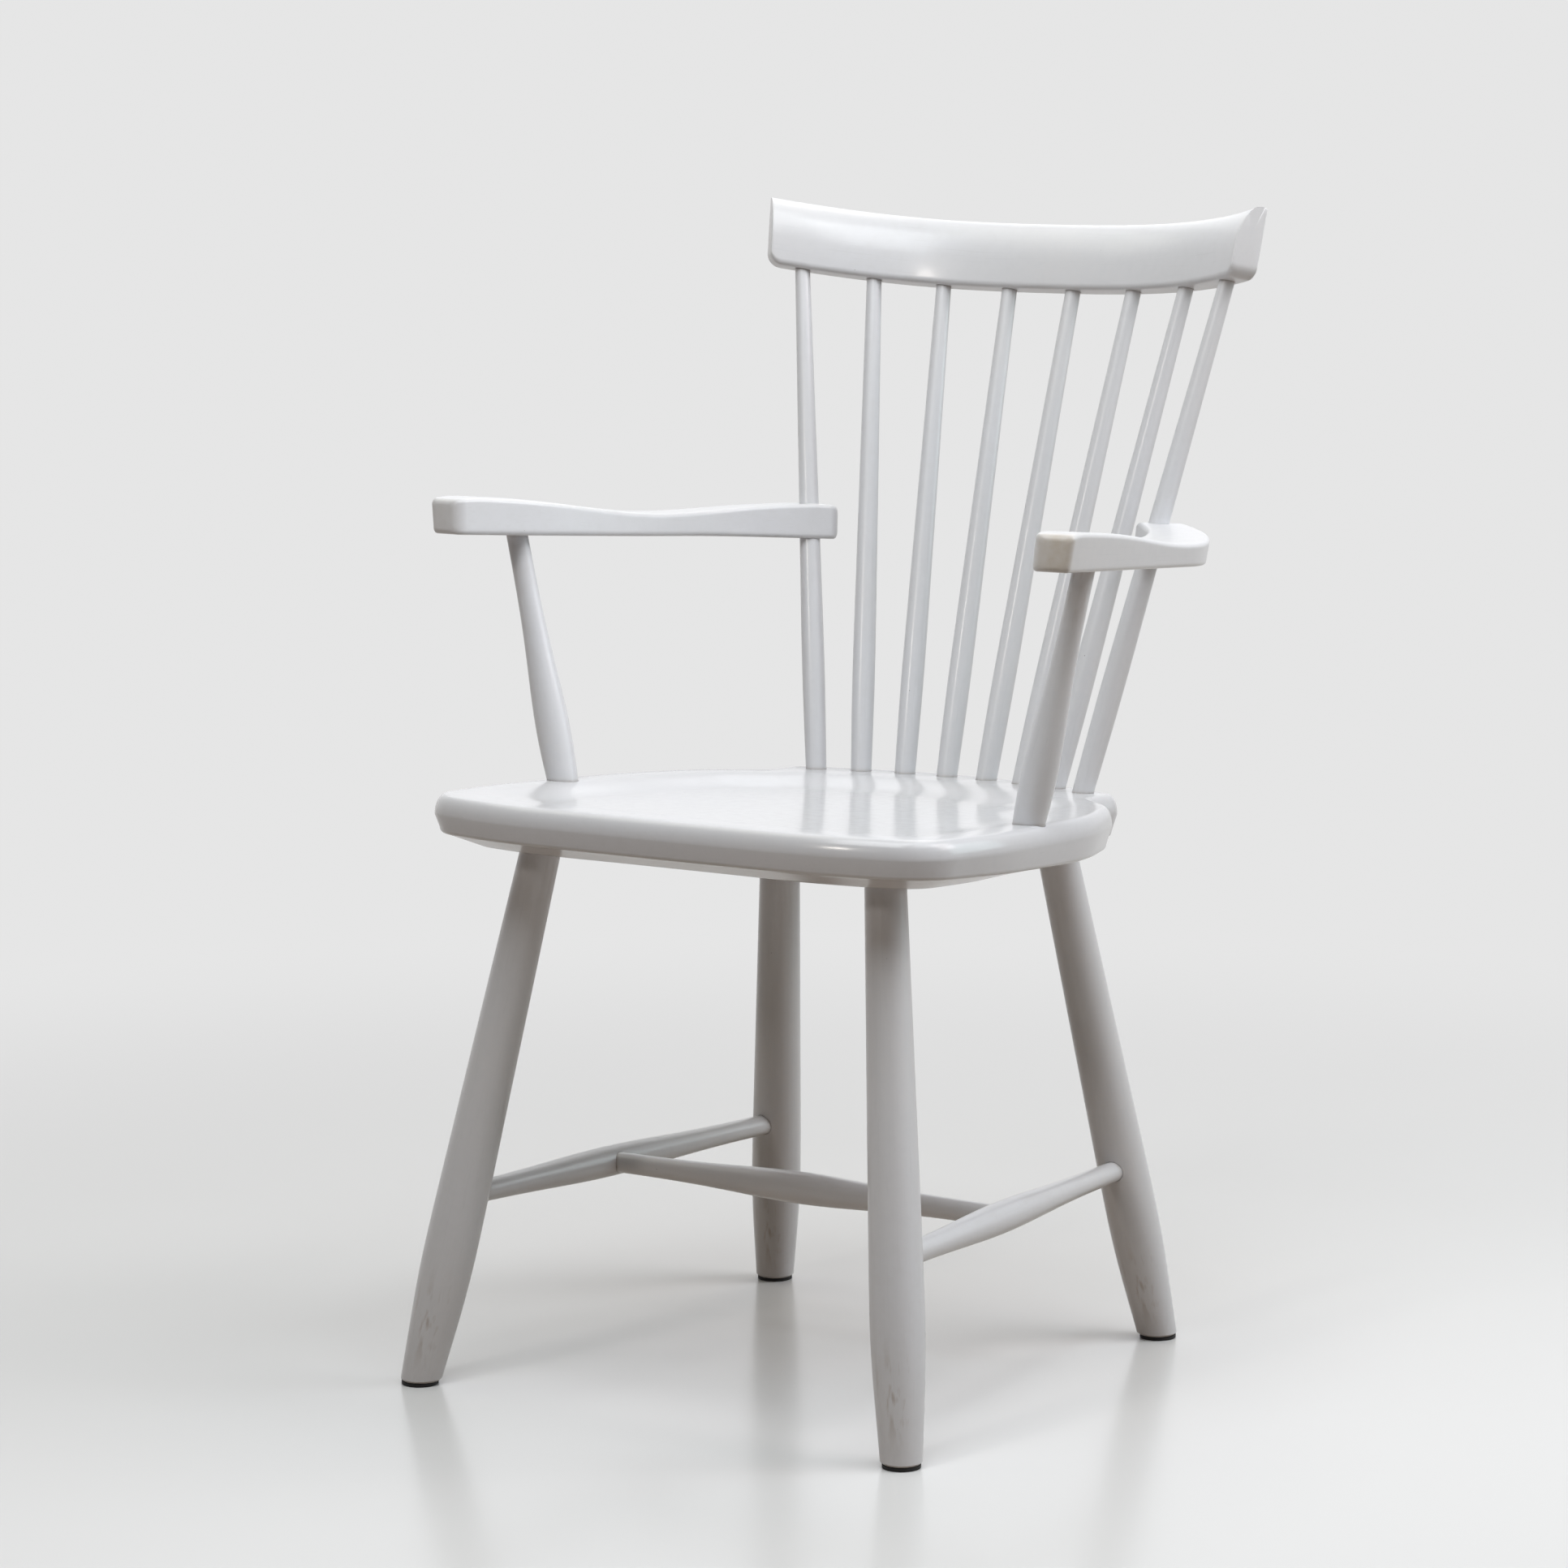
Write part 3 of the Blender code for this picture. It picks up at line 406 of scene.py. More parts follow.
# Scuffs, and on each post's top the arm's painted shadow with a brown stain, take this brown.
SCUFF_AND_SHADE_COLOUR = (0.36, 0.29, 0.23)
# Painted shade: the brown of the thin line where two pieces meet.
JOINT_SHADE_COLOUR = (0.26, 0.21, 0.165)
WORN_ROUGHNESS = 0.14
GLOSS_RANGE = (0.3, 0.7)
GLOSS_DRIFT = 0.025
COAT_ROUGHNESS = 0.13


def shaded(colour, shade):
    """A colour times a shade, which is one number or one for each of its three parts."""
    return tuple((np.array(colour) * shade).tolist())


def specks(tree, place):
    """Dust specks: the middles of Voronoi cells, kept where a cell's own random number is high."""
    cells = add_node(tree, "ShaderNodeTexVoronoi", Scale=SPECK_SCALE)
    link(tree, place, cells.inputs["Vector"])
    near = carried(tree, cells.outputs["Distance"], SPECK_REACH / 2.0, SPECK_REACH, 1.0, 0.0)
    channels = add_node(tree, "ShaderNodeSeparateColor")
    link(tree, cells.outputs["Color"], channels.inputs["Color"])
    kept = add_node(tree, "ShaderNodeMath", operation="GREATER_THAN")
    kept.inputs[1].default_value = SPECK_KEPT
    link(tree, channels.outputs["Red"], kept.inputs[0])
    return reckon(tree, "MULTIPLY", near, kept.outputs["Value"])


def lacquer(name, colour, roughness, coat):
    """A sprayed lacquer: drifting tone, mottle, pores, wear, scuffs, painted shade, specks and orange peel.
    """
    material, tree, shader, place = new_finish(name)
    wood = attribute(tree, "wood", "Vector")
    drift = noise(tree, place, DRIFT_SCALE, detail=2.0)
    mottle = noise(tree, place, MOTTLE_SCALE, detail=4.0)
    grain = noise(tree, stretched(tree, wood, GRAIN_STRETCH), GRAIN_SCALE, detail=3.0)
    streak = noise(tree, stretched(tree, wood, STREAK_STRETCH), STREAK_SCALE, detail=4.0)
    speck = specks(tree, place)
    uneven = carried(tree, streak, *STREAK_RANGE, *STREAK_WEAR)
    worn = reckon(tree, "MULTIPLY", attribute(tree, "rub", "Fac"), uneven)
    # A thin line of painted shade where two pieces meet.
    shaded_joint = reckon(tree, "MULTIPLY", attribute(tree, "grime", "Fac"), uneven)
    # Scuffs, and on each post's top the arm's painted shadow mixed with a brown stain.
    scraped = carried(tree, streak, *SCRAPE_RANGE)
    scuffed = reckon(tree, "MULTIPLY", attribute(tree, "scuff", "Fac"), scraped)

    warm = shaded(colour, DRIFT_WARM)
    cool = shaded(colour, DRIFT_COOL)
    tone = covered(tree, carried(tree, drift, *DRIFT_RANGE), warm, cool)
    tone = covered(tree, carried(tree, mottle, *MOTTLE_RANGE), tone, shaded(colour, MOTTLE_SHADE))
    tone = covered(tree, carried(tree, grain, *PORE_RANGE), tone, shaded(colour, PORE_SHADE))
    tone = covered(tree, worn, tone, WORN_COLOUR)
    tone = covered(tree, scuffed, tone, SCUFF_AND_SHADE_COLOUR)
    tone = covered(tree, shaded_joint, tone, JOINT_SHADE_COLOUR)
    tone = covered(tree, speck, tone, SPECK_COLOUR)
    link(tree, tone, shader.inputs["Base Color"])

    gloss = carried(tree, mottle, *GLOSS_RANGE, roughness - GLOSS_DRIFT, roughness + GLOSS_DRIFT)
    dull = carried(tree, worn, 0.0, 1.0, 0.0, WORN_ROUGHNESS)
    link(tree, reckon(tree, "ADD", gloss, dull), shader.inputs["Roughness"])
    shader.inputs["Coat Weight"].default_value = coat
    shader.inputs["Coat Roughness"].default_value = COAT_ROUGHNESS

    normal = bumped(tree, noise(tree, place, PEEL_SCALE, detail=1.0), PEEL_BUMP, PEEL_HEIGHT)
    normal = bumped(tree, grain, GRAIN_BUMP, GRAIN_HEIGHT, normal)
    normal = bumped(tree, speck, SPECK_BUMP, SPECK_HEIGHT, normal)
    link(tree, normal, shader.inputs["Normal"])
    link(tree, normal, shader.inputs["Coat Normal"])
    return material


print("lacquer recipe ready, gloss drifts by", GLOSS_DRIFT, "either way")

# %% [markdown]
# ## Two paints from one recipe
#
# The seat is polished by sitting, so its paint is glossier than the frame's, which keeps a thin clear coat
# that draws sharp glints. Both roughnesses, drift included, keep clear of about 0.27: a drift that crosses
# it makes the denoiser treat neighbouring spots differently, and the paint then looks hammered.

# %% Seat and frame paint
# The seat's colour is set a little darker than the frame's, as painted shade against the strong light from
# above that falls on its top.
SEAT_COLOUR = (0.655, 0.66, 0.685)
SEAT_ROUGHNESS = 0.18
SEAT_COAT = 0.10
FRAME_COLOUR = (0.683, 0.688, 0.710)
FRAME_ROUGHNESS = 0.32
FRAME_COAT = 0.28
seat_lacquer = lacquer("seat_lacquer", SEAT_COLOUR, SEAT_ROUGHNESS, SEAT_COAT)
frame_lacquer = lacquer("frame_lacquer", FRAME_COLOUR, FRAME_ROUGHNESS, FRAME_COAT)
print("finishes", seat_lacquer.name, frame_lacquer.name)

# %% [markdown]
# ## Where the seat lies
#
# The seat is the chair's datum. Its rim is a plane that falls a little towards the back, and spindles,
# posts and legs are all set out on it, so its frame comes first: a turn about X and a shift up.

# %% Seat frame and spindle row
SEAT_HEIGHT = 0.4345
SEAT_FALL = 0.047
SEAT_THICKNESS = 0.038
ROW_RADIUS = 0.2694
ROW_CENTRE_Y = -0.0510
SPINDLE_COUNT = 8
SEAT_PITCH = 0.0362

seat_turn = turn_about_x(-math.atan(SEAT_FALL))
seat_origin = np.array([0.0, middle_y, SEAT_HEIGHT])
from_middle = np.arange(SPINDLE_COUNT) - (SPINDLE_COUNT - 1) / 2.0


def on_seat(points):
    """Points of the seat's own frame, put in place."""
    return points @ seat_turn.T + seat_origin


def row_points(angle, radius):
    """Points of the seat plane on an arc about the centre of the spindle row, 0 straight back."""
    return np.stack([radius * np.sin(angle), ROW_CENTRE_Y + radius * np.cos(angle)], axis=-1)


spindle_feet = row_points(from_middle * SEAT_PITCH / ROW_RADIUS, ROW_RADIUS)
print("spindle row spans", round(float(np.ptp(spindle_feet[:, 0])), 4), "m on the seat")

# %% [markdown]
# ## Sticks
#
# Spindles, posts, legs and stretchers are all turned on a lathe. A turned stick is a radius that changes
# along a straight axis, and a tenon is the same thing with a step in it, so one class gives the surface of
# a stick and of the socket that receives it, a fit gap larger all round.

# %% Turned sticks
FIT_GAP = 0.0003
SHOULDER_SINK = 0.005
CUT_REACH = 0.030
STICK_SIDES = 48
STICK_STEPS = 72
SOCKET_STEPS = 6
MOUTH_ROWS = np.linspace(-0.003, 0.007, 11)


class Stick:
    """A turned stick from start to end, with a tenon (sink, length, radius) or none at each end.

    A point is start + s along the axis + radius(s) times (cos a, sin a) across it.
    """

    def __init__(self, start, end, radius, foot=None, head=None):
        self.start = np.asarray(start, dtype=float)
        self.end = np.asarray(end, dtype=float)
        self.length = float(np.linalg.norm(self.end - self.start))
        self.axis = (self.end - self.start) / self.length
        across = unit(np.cross([0.0, 1.0, 0.0], self.axis))
        self.frame = np.stack([across, np.cross(self.axis, across), self.axis])
        self.radius = radius
        self.foot = foot
        self.head = head

    def rings(self, heights, radii, sides=STICK_SIDES):
        """Points in the stick's own frame for rows of heights and radii."""
        angle = np.arange(sides) * 2.0 * math.pi / sides
        x = radii[:, None] * np.cos(angle)
        y = radii[:, None] * np.sin(angle)
        return np.stack([x, y, np.broadcast_to(heights[:, None], x.shape)], axis=-1)

    def put(self, local):
        """Points of the stick's own frame, put in place."""
        return local @ self.frame + self.start

    def rows(self, bottom=0.0):
        """Heights and radii of the whole stick, tenons with their shoulders included."""
        low, high = bottom, self.length
        foot_rows, head_rows = np.empty((0, 2)), np.empty((0, 2))
        if self.foot:
            sink, length, radius = self.foot
            low = -sink
            foot_rows = np.array([[low - length, radius], [low, radius]])
        if self.head:
            sink, length, radius = self.head
            high = self.length + sink
            head_rows = np.array([[high, radius], [high + length, radius]])
        even = np.linspace(low, high, STICK_STEPS + 1)
        close = np.concatenate([MOUTH_ROWS, self.length - MOUTH_ROWS])
        close = close[(close > low) & (close < high)]
        heights = np.unique(np.round(np.concatenate([even, close]), 6))
        body = np.column_stack([heights, self.radius(heights)])
        return np.concatenate([foot_rows, body, head_rows])

    def socket(self, at_head):
        """The hole for one end, a fit gap larger than the stick, and open beyond its mouth."""
        tenon = self.head if at_head else self.foot
        mouth = self.length if at_head else 0.0
        into = 1.0 if at_head else -1.0
        sink, length, radius = tenon if tenon else (0.0, 0.0, 0.0)
        shoulder = mouth + into * (sink + FIT_GAP)
        heights = np.linspace(shoulder, mouth - into * CUT_REACH, SOCKET_STEPS + 1)
        rows = np.column_stack([heights, self.radius(heights) + FIT_GAP])
        if tenon:
            wide = radius + FIT_GAP
            rows = np.concatenate([[[shoulder + into * length, wide], [shoulder, wide]], rows])
        return self.put(self.rings(rows[:, 0], rows[:, 1]))

    def passage(self, middle):
        """The hole for the body where it passes right through a piece at a distance along the axis."""
        heights = np.linspace(middle - CUT_REACH, middle + 2.0 * CUT_REACH, SOCKET_STEPS + 1)
        return self.put(self.rings(heights, self.radius(heights) + FIT_GAP))


print("a stick has", STICK_SIDES, "sides, and its socket is", FIT_GAP * 1000.0, "mm larger all round")

# %% [markdown]
# ## The crest rail's line
#
# The rail is bent from a straight board, so its middle line is a smooth bow in plan, deepest at the
# middle and turning faster towards the ends. A power a little above two gives that. The spindles end on
# this line, so it is set out before the spindles are.

# %% Crest line
CREST_SETBACK = 0.1093
CREST_ABOVE_SEAT = 0.3663
CREST_LEAN = math.radians(15.6)
CREST_PITCH = 0.0583
CREST_END_MARGIN = 0.028
CREST_BOW = 0.0736
CREST_BOW_HALF = 0.222
CREST_BOW_POWER = 2.65
CURVE_SAMPLES = 600

crest_turn = turn_about_x(-CREST_LEAN)
crest_origin = np.array([
    0.0, middle_y + ROW_CENTRE_Y + ROW_RADIUS + CREST_SETBACK, SEAT_HEIGHT + CREST_ABOVE_SEAT])


def on_crest(points):
    """Points of the crest rail's own frame, put in place."""
    return points @ crest_turn.T + crest_origin


def crest_line(reach):
    """Plan points and headings of the bow, forwards by its depth times (x / half)^power, at a reach."""
    x = np.linspace(0.0, 2.0 * CREST_BOW_HALF, CURVE_SAMPLES)
    y = -CREST_BOW * (x / CREST_BOW_HALF) ** CREST_BOW_POWER
    run = np.concatenate([[0.0], np.cumsum(np.hypot(np.diff(x), np.diff(y)))])
    here = np.interp(np.abs(reach), run, x)
    steepest = CREST_BOW * CREST_BOW_POWER / CREST_BOW_HALF
    slope = -steepest * (here / CREST_BOW_HALF) ** (CREST_BOW_POWER - 1.0)
    side = np.sign(reach)
    points = np.stack([side * here, np.interp(here, x, y)], axis=-1)
    return points, unit(np.stack([np.ones_like(slope), side * slope], axis=-1))


crest_half = (SPINDLE_COUNT - 1) / 2.0 * CREST_PITCH + CREST_END_MARGIN
crest_points = crest_line(from_middle * CREST_PITCH)[0]
print("crest rail", round(2.0 * crest_half, 4), "m along its bow")

# %% [markdown]
# ## Spindles
#
# Eight straight spindles fan out from the seat to the rail. Each is thickest a hand's breadth above the
# seat and tapers up to the rail: the lower of two slopes, with the shoulder between them softened.

# %% Spindles
SPINDLE_SEAT_RADIUS = 0.0082
SPINDLE_SWELL = 0.014
SPINDLE_CREST_RADIUS = 0.0060
SPINDLE_TAPER = 0.00975
SPINDLE_BLEND = 0.0004
SPINDLE_FOOT = (SHOULDER_SINK, 0.017, 0.0060)
SPINDLE_HEAD = (SHOULDER_SINK, 0.017, 0.0043)
# Painted shade at a joint: a thin brown line, strongest where the pieces meet.
JOINT_SHADE_SHARE = 0.55
JOINT_SHADE_REACH = 0.0011


def spindle_stick(seat_point, crest_point):
    """One spindle: radius is the soft lower of a swell from the seat and a taper to the rail."""
    start = on_seat(np.append(seat_point, 0.0))
    end = on_crest(np.append(crest_point, 0.0))
    length = np.linalg.norm(end - start)

    def radius(s):
        taper = SPINDLE_CREST_RADIUS + SPINDLE_TAPER * (length - s)
        return soft_lower(taper, SPINDLE_SEAT_RADIUS + SPINDLE_SWELL * s, SPINDLE_BLEND)

    return Stick(start, end, radius, SPINDLE_FOOT, SPINDLE_HEAD)


def above_seat(points):
    """Height of points above the seat's rim plane."""
    return (points - seat_origin) @ seat_turn[:, 2]


def below_crest(points):
    """How far points lie below the rail's underside."""
    return (crest_origin - points) @ crest_turn[:, 2]


def grime_at(distance):
    """Painted shade at a joint: a thin brown line that fades with the distance from it, to a third for each
    reach further on.
    """
    return JOINT_SHADE_SHARE * np.exp(-np.abs(distance) / JOINT_SHADE_REACH)


def finish_stick(node, stick, joints, sockets=(), wear_and_shade=None):
    """Turns a stick into a painted piece, with its wear (on a post, a stain and the arm's painted shadow)
    and with painted shade at its joints.

    Each joint is a function that gives the distance of points from it.
    """
    rows = stick.rows()
    local = stick.rings(rows[:, 0], rows[:, 1])
    points = stick.put(local)
    # Painted shade in a thin line at each joint.
    grime = sum(grime_at(distance(points)) for distance in joints)
    # Wear, and on a post the arm's painted shadow with a brown stain.
    scuff = wear_and_shade(stick, local) if wear_and_shade else 0.0
    make_piece(node, points, local, frame_lacquer, sockets, scuff=scuff, grime=grime)


spindles = [spindle_stick(*ends) for ends in zip(spindle_feet, crest_points)]
for number, spindle in enumerate(spindles, 1):
    finish_stick(f"spindle_{number}", spindle, [above_seat, below_crest])

# %% [markdown]
# ## Arm posts
#
# A post leans out from the seat's side to the arm. It is turned with a long belly low down and thins
# towards the top, which a bell curve gives. The arm's own frame sits where the post meets it.

# %% Arm frames and posts
SIDES = {"left": -1.0, "right": 1.0}
SEAT_WIDEST = np.array([0.2310, -0.105])
SEAT_WAIST = np.array([0.2160, 0.048])
POST_SEAT_INSET = 0.0168
POST_SEAT_Y = -0.0356
POST_SPREAD = 0.0432
POST_ARM_Y = -0.0337
POST_RADII = (0.0082, 0.0131)
POST_BELLY = (0.19, 0.25)
POST_FOOT = (SHOULDER_SINK, 0.017, 0.0090)
POST_HEAD = (SHOULDER_SINK, 0.009, 0.0062)
ARM_ABOVE_SEAT = 0.1880
ARM_FALL = 0.070
ARM_TOE_IN = math.radians(7.2)
# Below each arm the post's top is browned: a real stain mixed with the arm's painted shadow, more on the
# right.
POST_STAIN_AND_SHADE = {"left": 0.12, "right": 0.40}
POST_STAIN_AND_SHADE_REACH = 0.026

post_half = np.interp(POST_SEAT_Y, [SEAT_WIDEST[1], SEAT_WAIST[1]], [SEAT_WIDEST[0], SEAT_WAIST[0]])
post_half = float(post_half) - POST_SEAT_INSET


def arm_frame(side):
    """An arm's own frame, on its underside where the post meets it: a turn and an origin."""
    turn = turn_about_x(-math.atan(ARM_FALL)) @ turn_about_z(side * ARM_TOE_IN)
    half = side * (post_half + POST_SPREAD)
    return turn, np.array([half, middle_y + POST_ARM_Y, SEAT_HEIGHT + ARM_ABOVE_SEAT])


def below_arm(side):
    """A function that gives how far points lie below an arm's underside."""
    turn, origin = arm_frame(side)
    return lambda points: (origin - points) @ turn[:, 2]


def post_stick(side):
    """One arm post: radius is a bell-shaped belly low on a thinner stick."""
    start = on_seat(np.array([side * post_half, POST_SEAT_Y, 0.0]))
    end = arm_frame(side)[1]
    length = np.linalg.norm(end - start)
    return Stick(start, end, lambda s: swelling(s / length, *POST_RADII, *POST_BELLY), POST_FOOT, POST_HEAD)


def stained_and_shaded(hand):
    """A function that gives a post's brown top below its arm, a real stain mixed with the arm's painted
    shadow, fading downwards by powers of e.
    """
    return lambda post, local: POST_STAIN_AND_SHADE[hand] * np.exp((local[..., 2] - post.length) / POST_STAIN_AND_SHADE_REACH)


posts = {hand: post_stick(side) for hand, side in SIDES.items()}
for hand, post in posts.items():
    finish_stick(f"arm_post_{hand}", post, [above_seat, below_arm(SIDES[hand])], wear_and_shade=stained_and_shaded(hand))

# %% [markdown]
# ## Legs
#
# Four splayed legs run from blind sockets under the seat down to the floor. They grow thicker towards the
# ankle and then draw in sharply, so the radius is again the soft lower of two slopes. A splayed leg is
# sawn level at the foot: the rings near the floor slide along the axis until they lie flat.

# %% Legs and stretchers set out
LEG_SEAT_POINTS = {"front": (0.1514, -0.1386), "back": (0.1255, 0.1448)}
LEG_TOP_RADIUS = 0.0152
LEG_TAPER = 0.0163
LEG_FOOT_RADIUS = 0.0149
LEG_ANKLE_FLARE = 0.066
LEG_BLEND = 0.0012
LEG_HEAD = (0.009, 0.013, 0.0125)


def leg_stick(corner):
    """One leg: radius is the soft lower of a taper from the top and a flare from the foot."""
    end_name, hand = corner.split("_")
    half, depth = LEG_SEAT_POINTS[end_name]
    start = feet[corner]
    end = on_seat(np.array([SIDES[hand] * half, depth, -SEAT_THICKNESS]))
    length = np.linalg.norm(end - start)
    upright = end[2] / length

    def radius(s):
        taper = LEG_TOP_RADIUS + LEG_TAPER * (length - s) * upright
        return soft_lower(taper, LEG_FOOT_RADIUS + LEG_ANKLE_FLARE * s * upright, LEG_BLEND)

    return Stick(start, end, radius, head=LEG_HEAD)


legs = {corner: leg_stick(corner) for corner in feet}
print("legs", {corner: round(leg.length, 4) for corner, leg in legs.items()})

# %% [markdown]
# ## Stretchers
#
# An H of three turned bars holds the legs. The side bars run from leg to leg with their fattest place a
# little ahead of the middle, and the cross bar is tenoned into both of them.

# %% Stretchers
STRETCHER_HEIGHTS = (0.1415, 0.1362)
STRETCHER_RADII = (0.0080, 0.0118)
STRETCHER_BELLY = (0.44, 0.17)
STRETCHER_SHORT = 0.004
CROSS_PLACE = 0.4513
CROSS_RADII = (0.0079, 0.01225)
CROSS_BELLY = (0.50, 0.15)
CROSS_TENON = (0.0, 0.006, 0.0060)
CROSS_SHORT = 0.002
BAR_WEAR = 0.10
BAR_WEAR_SPREAD = 0.09


def leg_point(leg, height):
    """The point of a leg's axis at a height above the floor."""
    return leg.start + (leg.end - leg.start) * height / leg.end[2]


def side_stretcher_stick(hand):
    """One side bar between two legs, its ends a little short of their axes."""
    front = leg_point(legs[f"front_{hand}"], STRETCHER_HEIGHTS[0])
    back = leg_point(legs[f"back_{hand}"], STRETCHER_HEIGHTS[1])
    short = unit(back - front) * STRETCHER_SHORT
    length = np.linalg.norm(back - front)
    return Stick(
        front + short, back - short,
        lambda s: swelling((s + STRETCHER_SHORT) / length, *STRETCHER_RADII, *STRETCHER_BELLY))


def cross_stretcher_stick(left, right):
    """The cross bar between the side bars, with a shouldered tenon at both ends."""
    start = left.start + (left.end - left.start) * CROSS_PLACE
    end = right.start + (right.end - right.start) * CROSS_PLACE
    span = np.linalg.norm(end - start)
    set_in = CROSS_SHORT + CROSS_TENON[1]
    step = unit(end - start) * set_in
    return Stick(
        start + step, end - step,
        lambda s: swelling((s + set_in) / span, *CROSS_RADII, *CROSS_BELLY), CROSS_TENON, CROSS_TENON)


def outside_of(stick):
    """A function that gives how far points lie outside a stick's surface."""
    def distance(points):
        along = (points - stick.start) @ stick.axis
        across = points - stick.start - along[..., None] * stick.axis
        return np.linalg.norm(across, axis=-1) - stick.radius(along)
    return distance


def trodden(stick, local):
    """Wear on the upper side of a bar, where shoes rest: a bell along it times how far it faces up."""
    middle = (local[..., 2] - stick.length / 2.0) / BAR_WEAR_SPREAD
    facing = unit(local[..., :2]) @ stick.frame[:2, 2]
    return BAR_WEAR * np.exp(-0.5 * middle**2) * np.clip(facing, 0.0, 1.0)


side_bars = {hand: side_stretcher_stick(hand) for hand in SIDES}
cross_bar = cross_stretcher_stick(side_bars["left"], side_bars["right"])
finish_stick("cross_stretcher", cross_bar, [outside_of(bar) for bar in side_bars.values()], wear_and_shade=trodden)
for hand, bar in side_bars.items():
    joined = [outside_of(legs[f"{end}_{hand}"]) for end in LEG_SEAT_POINTS]
    finish_stick(
        f"side_stretcher_{hand}", bar, joined, [cross_bar.socket(at_head=hand == "right")], wear_and_shade=trodden)

# %% [markdown]
# ## Leg surfaces
#
# The legs are made once the stretchers are known, because each leg is bored for its side bar, and for the
# nail of its glide. Shoes leave brown scrapes low down on the side that faces the front.

# %% Leg surfaces
GLIDE_THICKNESS = 0.0028
LEG_FOOT_CHAMFER = 0.0015
LEVEL_REACH = 0.050
NAIL_HEAD_RADIUS = 0.0050
NAIL_HEAD = 0.0010
NAIL_SHANK_RADIUS = 0.0012
NAIL_SHANK = 0.015
NAIL_POINT = 0.002
SCUFF_WEAR = 0.55
SCUFF_HEIGHT = 0.048
SCUFF_SPREAD = 0.018
SCUFF_FACING = unit(np.array([0.35, -1.0]))
SCUFF_FACING_FROM = 0.45
SCUFF_FACING_FADE = 0.50


def scuffed(leg, local):
    """Scuffs low on a leg, where shoes knock it: a bell along it times how far it faces the front."""
    low = (local[..., 2] - SCUFF_HEIGHT) / SCUFF_SPREAD
    facing = unit(local[..., :2]) @ leg.frame[:2, :2] @ SCUFF_FACING
    ahead = smooth_step((facing - SCUFF_FACING_FROM) / SCUFF_FACING_FADE)
    return SCUFF_WEAR * np.exp(-0.5 * low**2) * ahead


def nail_shank_rows(gap):
    """Heights and radii of a glide nail's shank, from the top of the glide to its point."""
    tip = GLIDE_THICKNESS + NAIL_SHANK + gap
    radius = NAIL_SHANK_RADIUS + gap
    blunt = radius - NAIL_SHANK_RADIUS / 2.0
    return np.array([[GLIDE_THICKNESS, radius], [tip - NAIL_POINT, radius], [tip, blunt]])


def upright_stick(foot):
    """A short upright stick at a foot, for what is nailed under it."""
    return Stick(foot, foot + np.array([0.0, 0.0, 1.0]), None)


def finish_leg(corner, leg):
    """A leg whose rings near the floor slide along the axis until the foot lies level."""
    foot = GLIDE_THICKNESS + FIT_GAP
    rows = leg.rows(bottom=foot + LEG_FOOT_CHAMFER)
    rows = np.concatenate([[[foot, rows[0, 1] - LEG_FOOT_CHAMFER]], rows])
    local = leg.rings(rows[:, 0], rows[:, 1])
    level = 1.0 - smooth_step((rows[:, 0] - foot - LEG_FOOT_CHAMFER) / LEVEL_REACH)
    slide = -(local[..., 0] * leg.frame[0, 2] + local[..., 1] * leg.frame[1, 2]) / leg.frame[2, 2]
    rise = rows[:, 0] / leg.frame[2, 2] - rows[:, 0]
    local[..., 2] += level[:, None] * (slide + rise[:, None])
    hand = corner.split("_")[1]
    shank = nail_shank_rows(FIT_GAP)
    nail_hole = upright_stick(feet[corner]).rings(shank[:, 0], shank[:, 1]) + feet[corner]
    sockets = [side_bars[hand].socket(at_head=corner.startswith("back")), nail_hole]
    points = leg.put(local)
    # Painted shade where the leg goes up into the seat's underside.
    grime = grime_at(above_seat(points) + SEAT_THICKNESS)
    make_piece(
        f"leg_{corner}", points, local, frame_lacquer, sockets, scuff=scuffed(leg, local), grime=grime)


for corner, leg in legs.items():
    finish_leg(corner, leg)

# %% [markdown]
# ## The seat
#
# The seat is a thick plank, sawn to a soft-cornered outline with a narrower deck behind for the spindles,
# rounded over at its rim, bevelled underneath and hollowed on top. As a surface it is one outline carried
# through many rings: out from under the middle, up the edge, over the rim and down into the hollow.

# %% Seat outline
SEAT_FRONT = np.array([0.0, -0.2205])
SEAT_FRONT_BOW = np.array([0.140, -0.2185])
SEAT_CORNER = np.array([0.2227, -0.1943])
SEAT_SHOULDER = np.array([0.189, 0.122])
SEAT_COVE_Y = 0.157
SIDE_ROUND = 0.300
CORNER_ROUND = 0.050
SHOULDER_ROUND = 0.060
COVE_ROUND = 0.010
TAIL_ROUND = 0.016
TAIL_FLARE = 0.002
TAIL_CORNER_STEP = np.array([0.0287, 0.011])
TAIL_CORNER_REACH = 0.024
TAIL_BACK_MARGIN = 0.021
ARC_STEPS = 24
OUTLINE_POINTS = 480


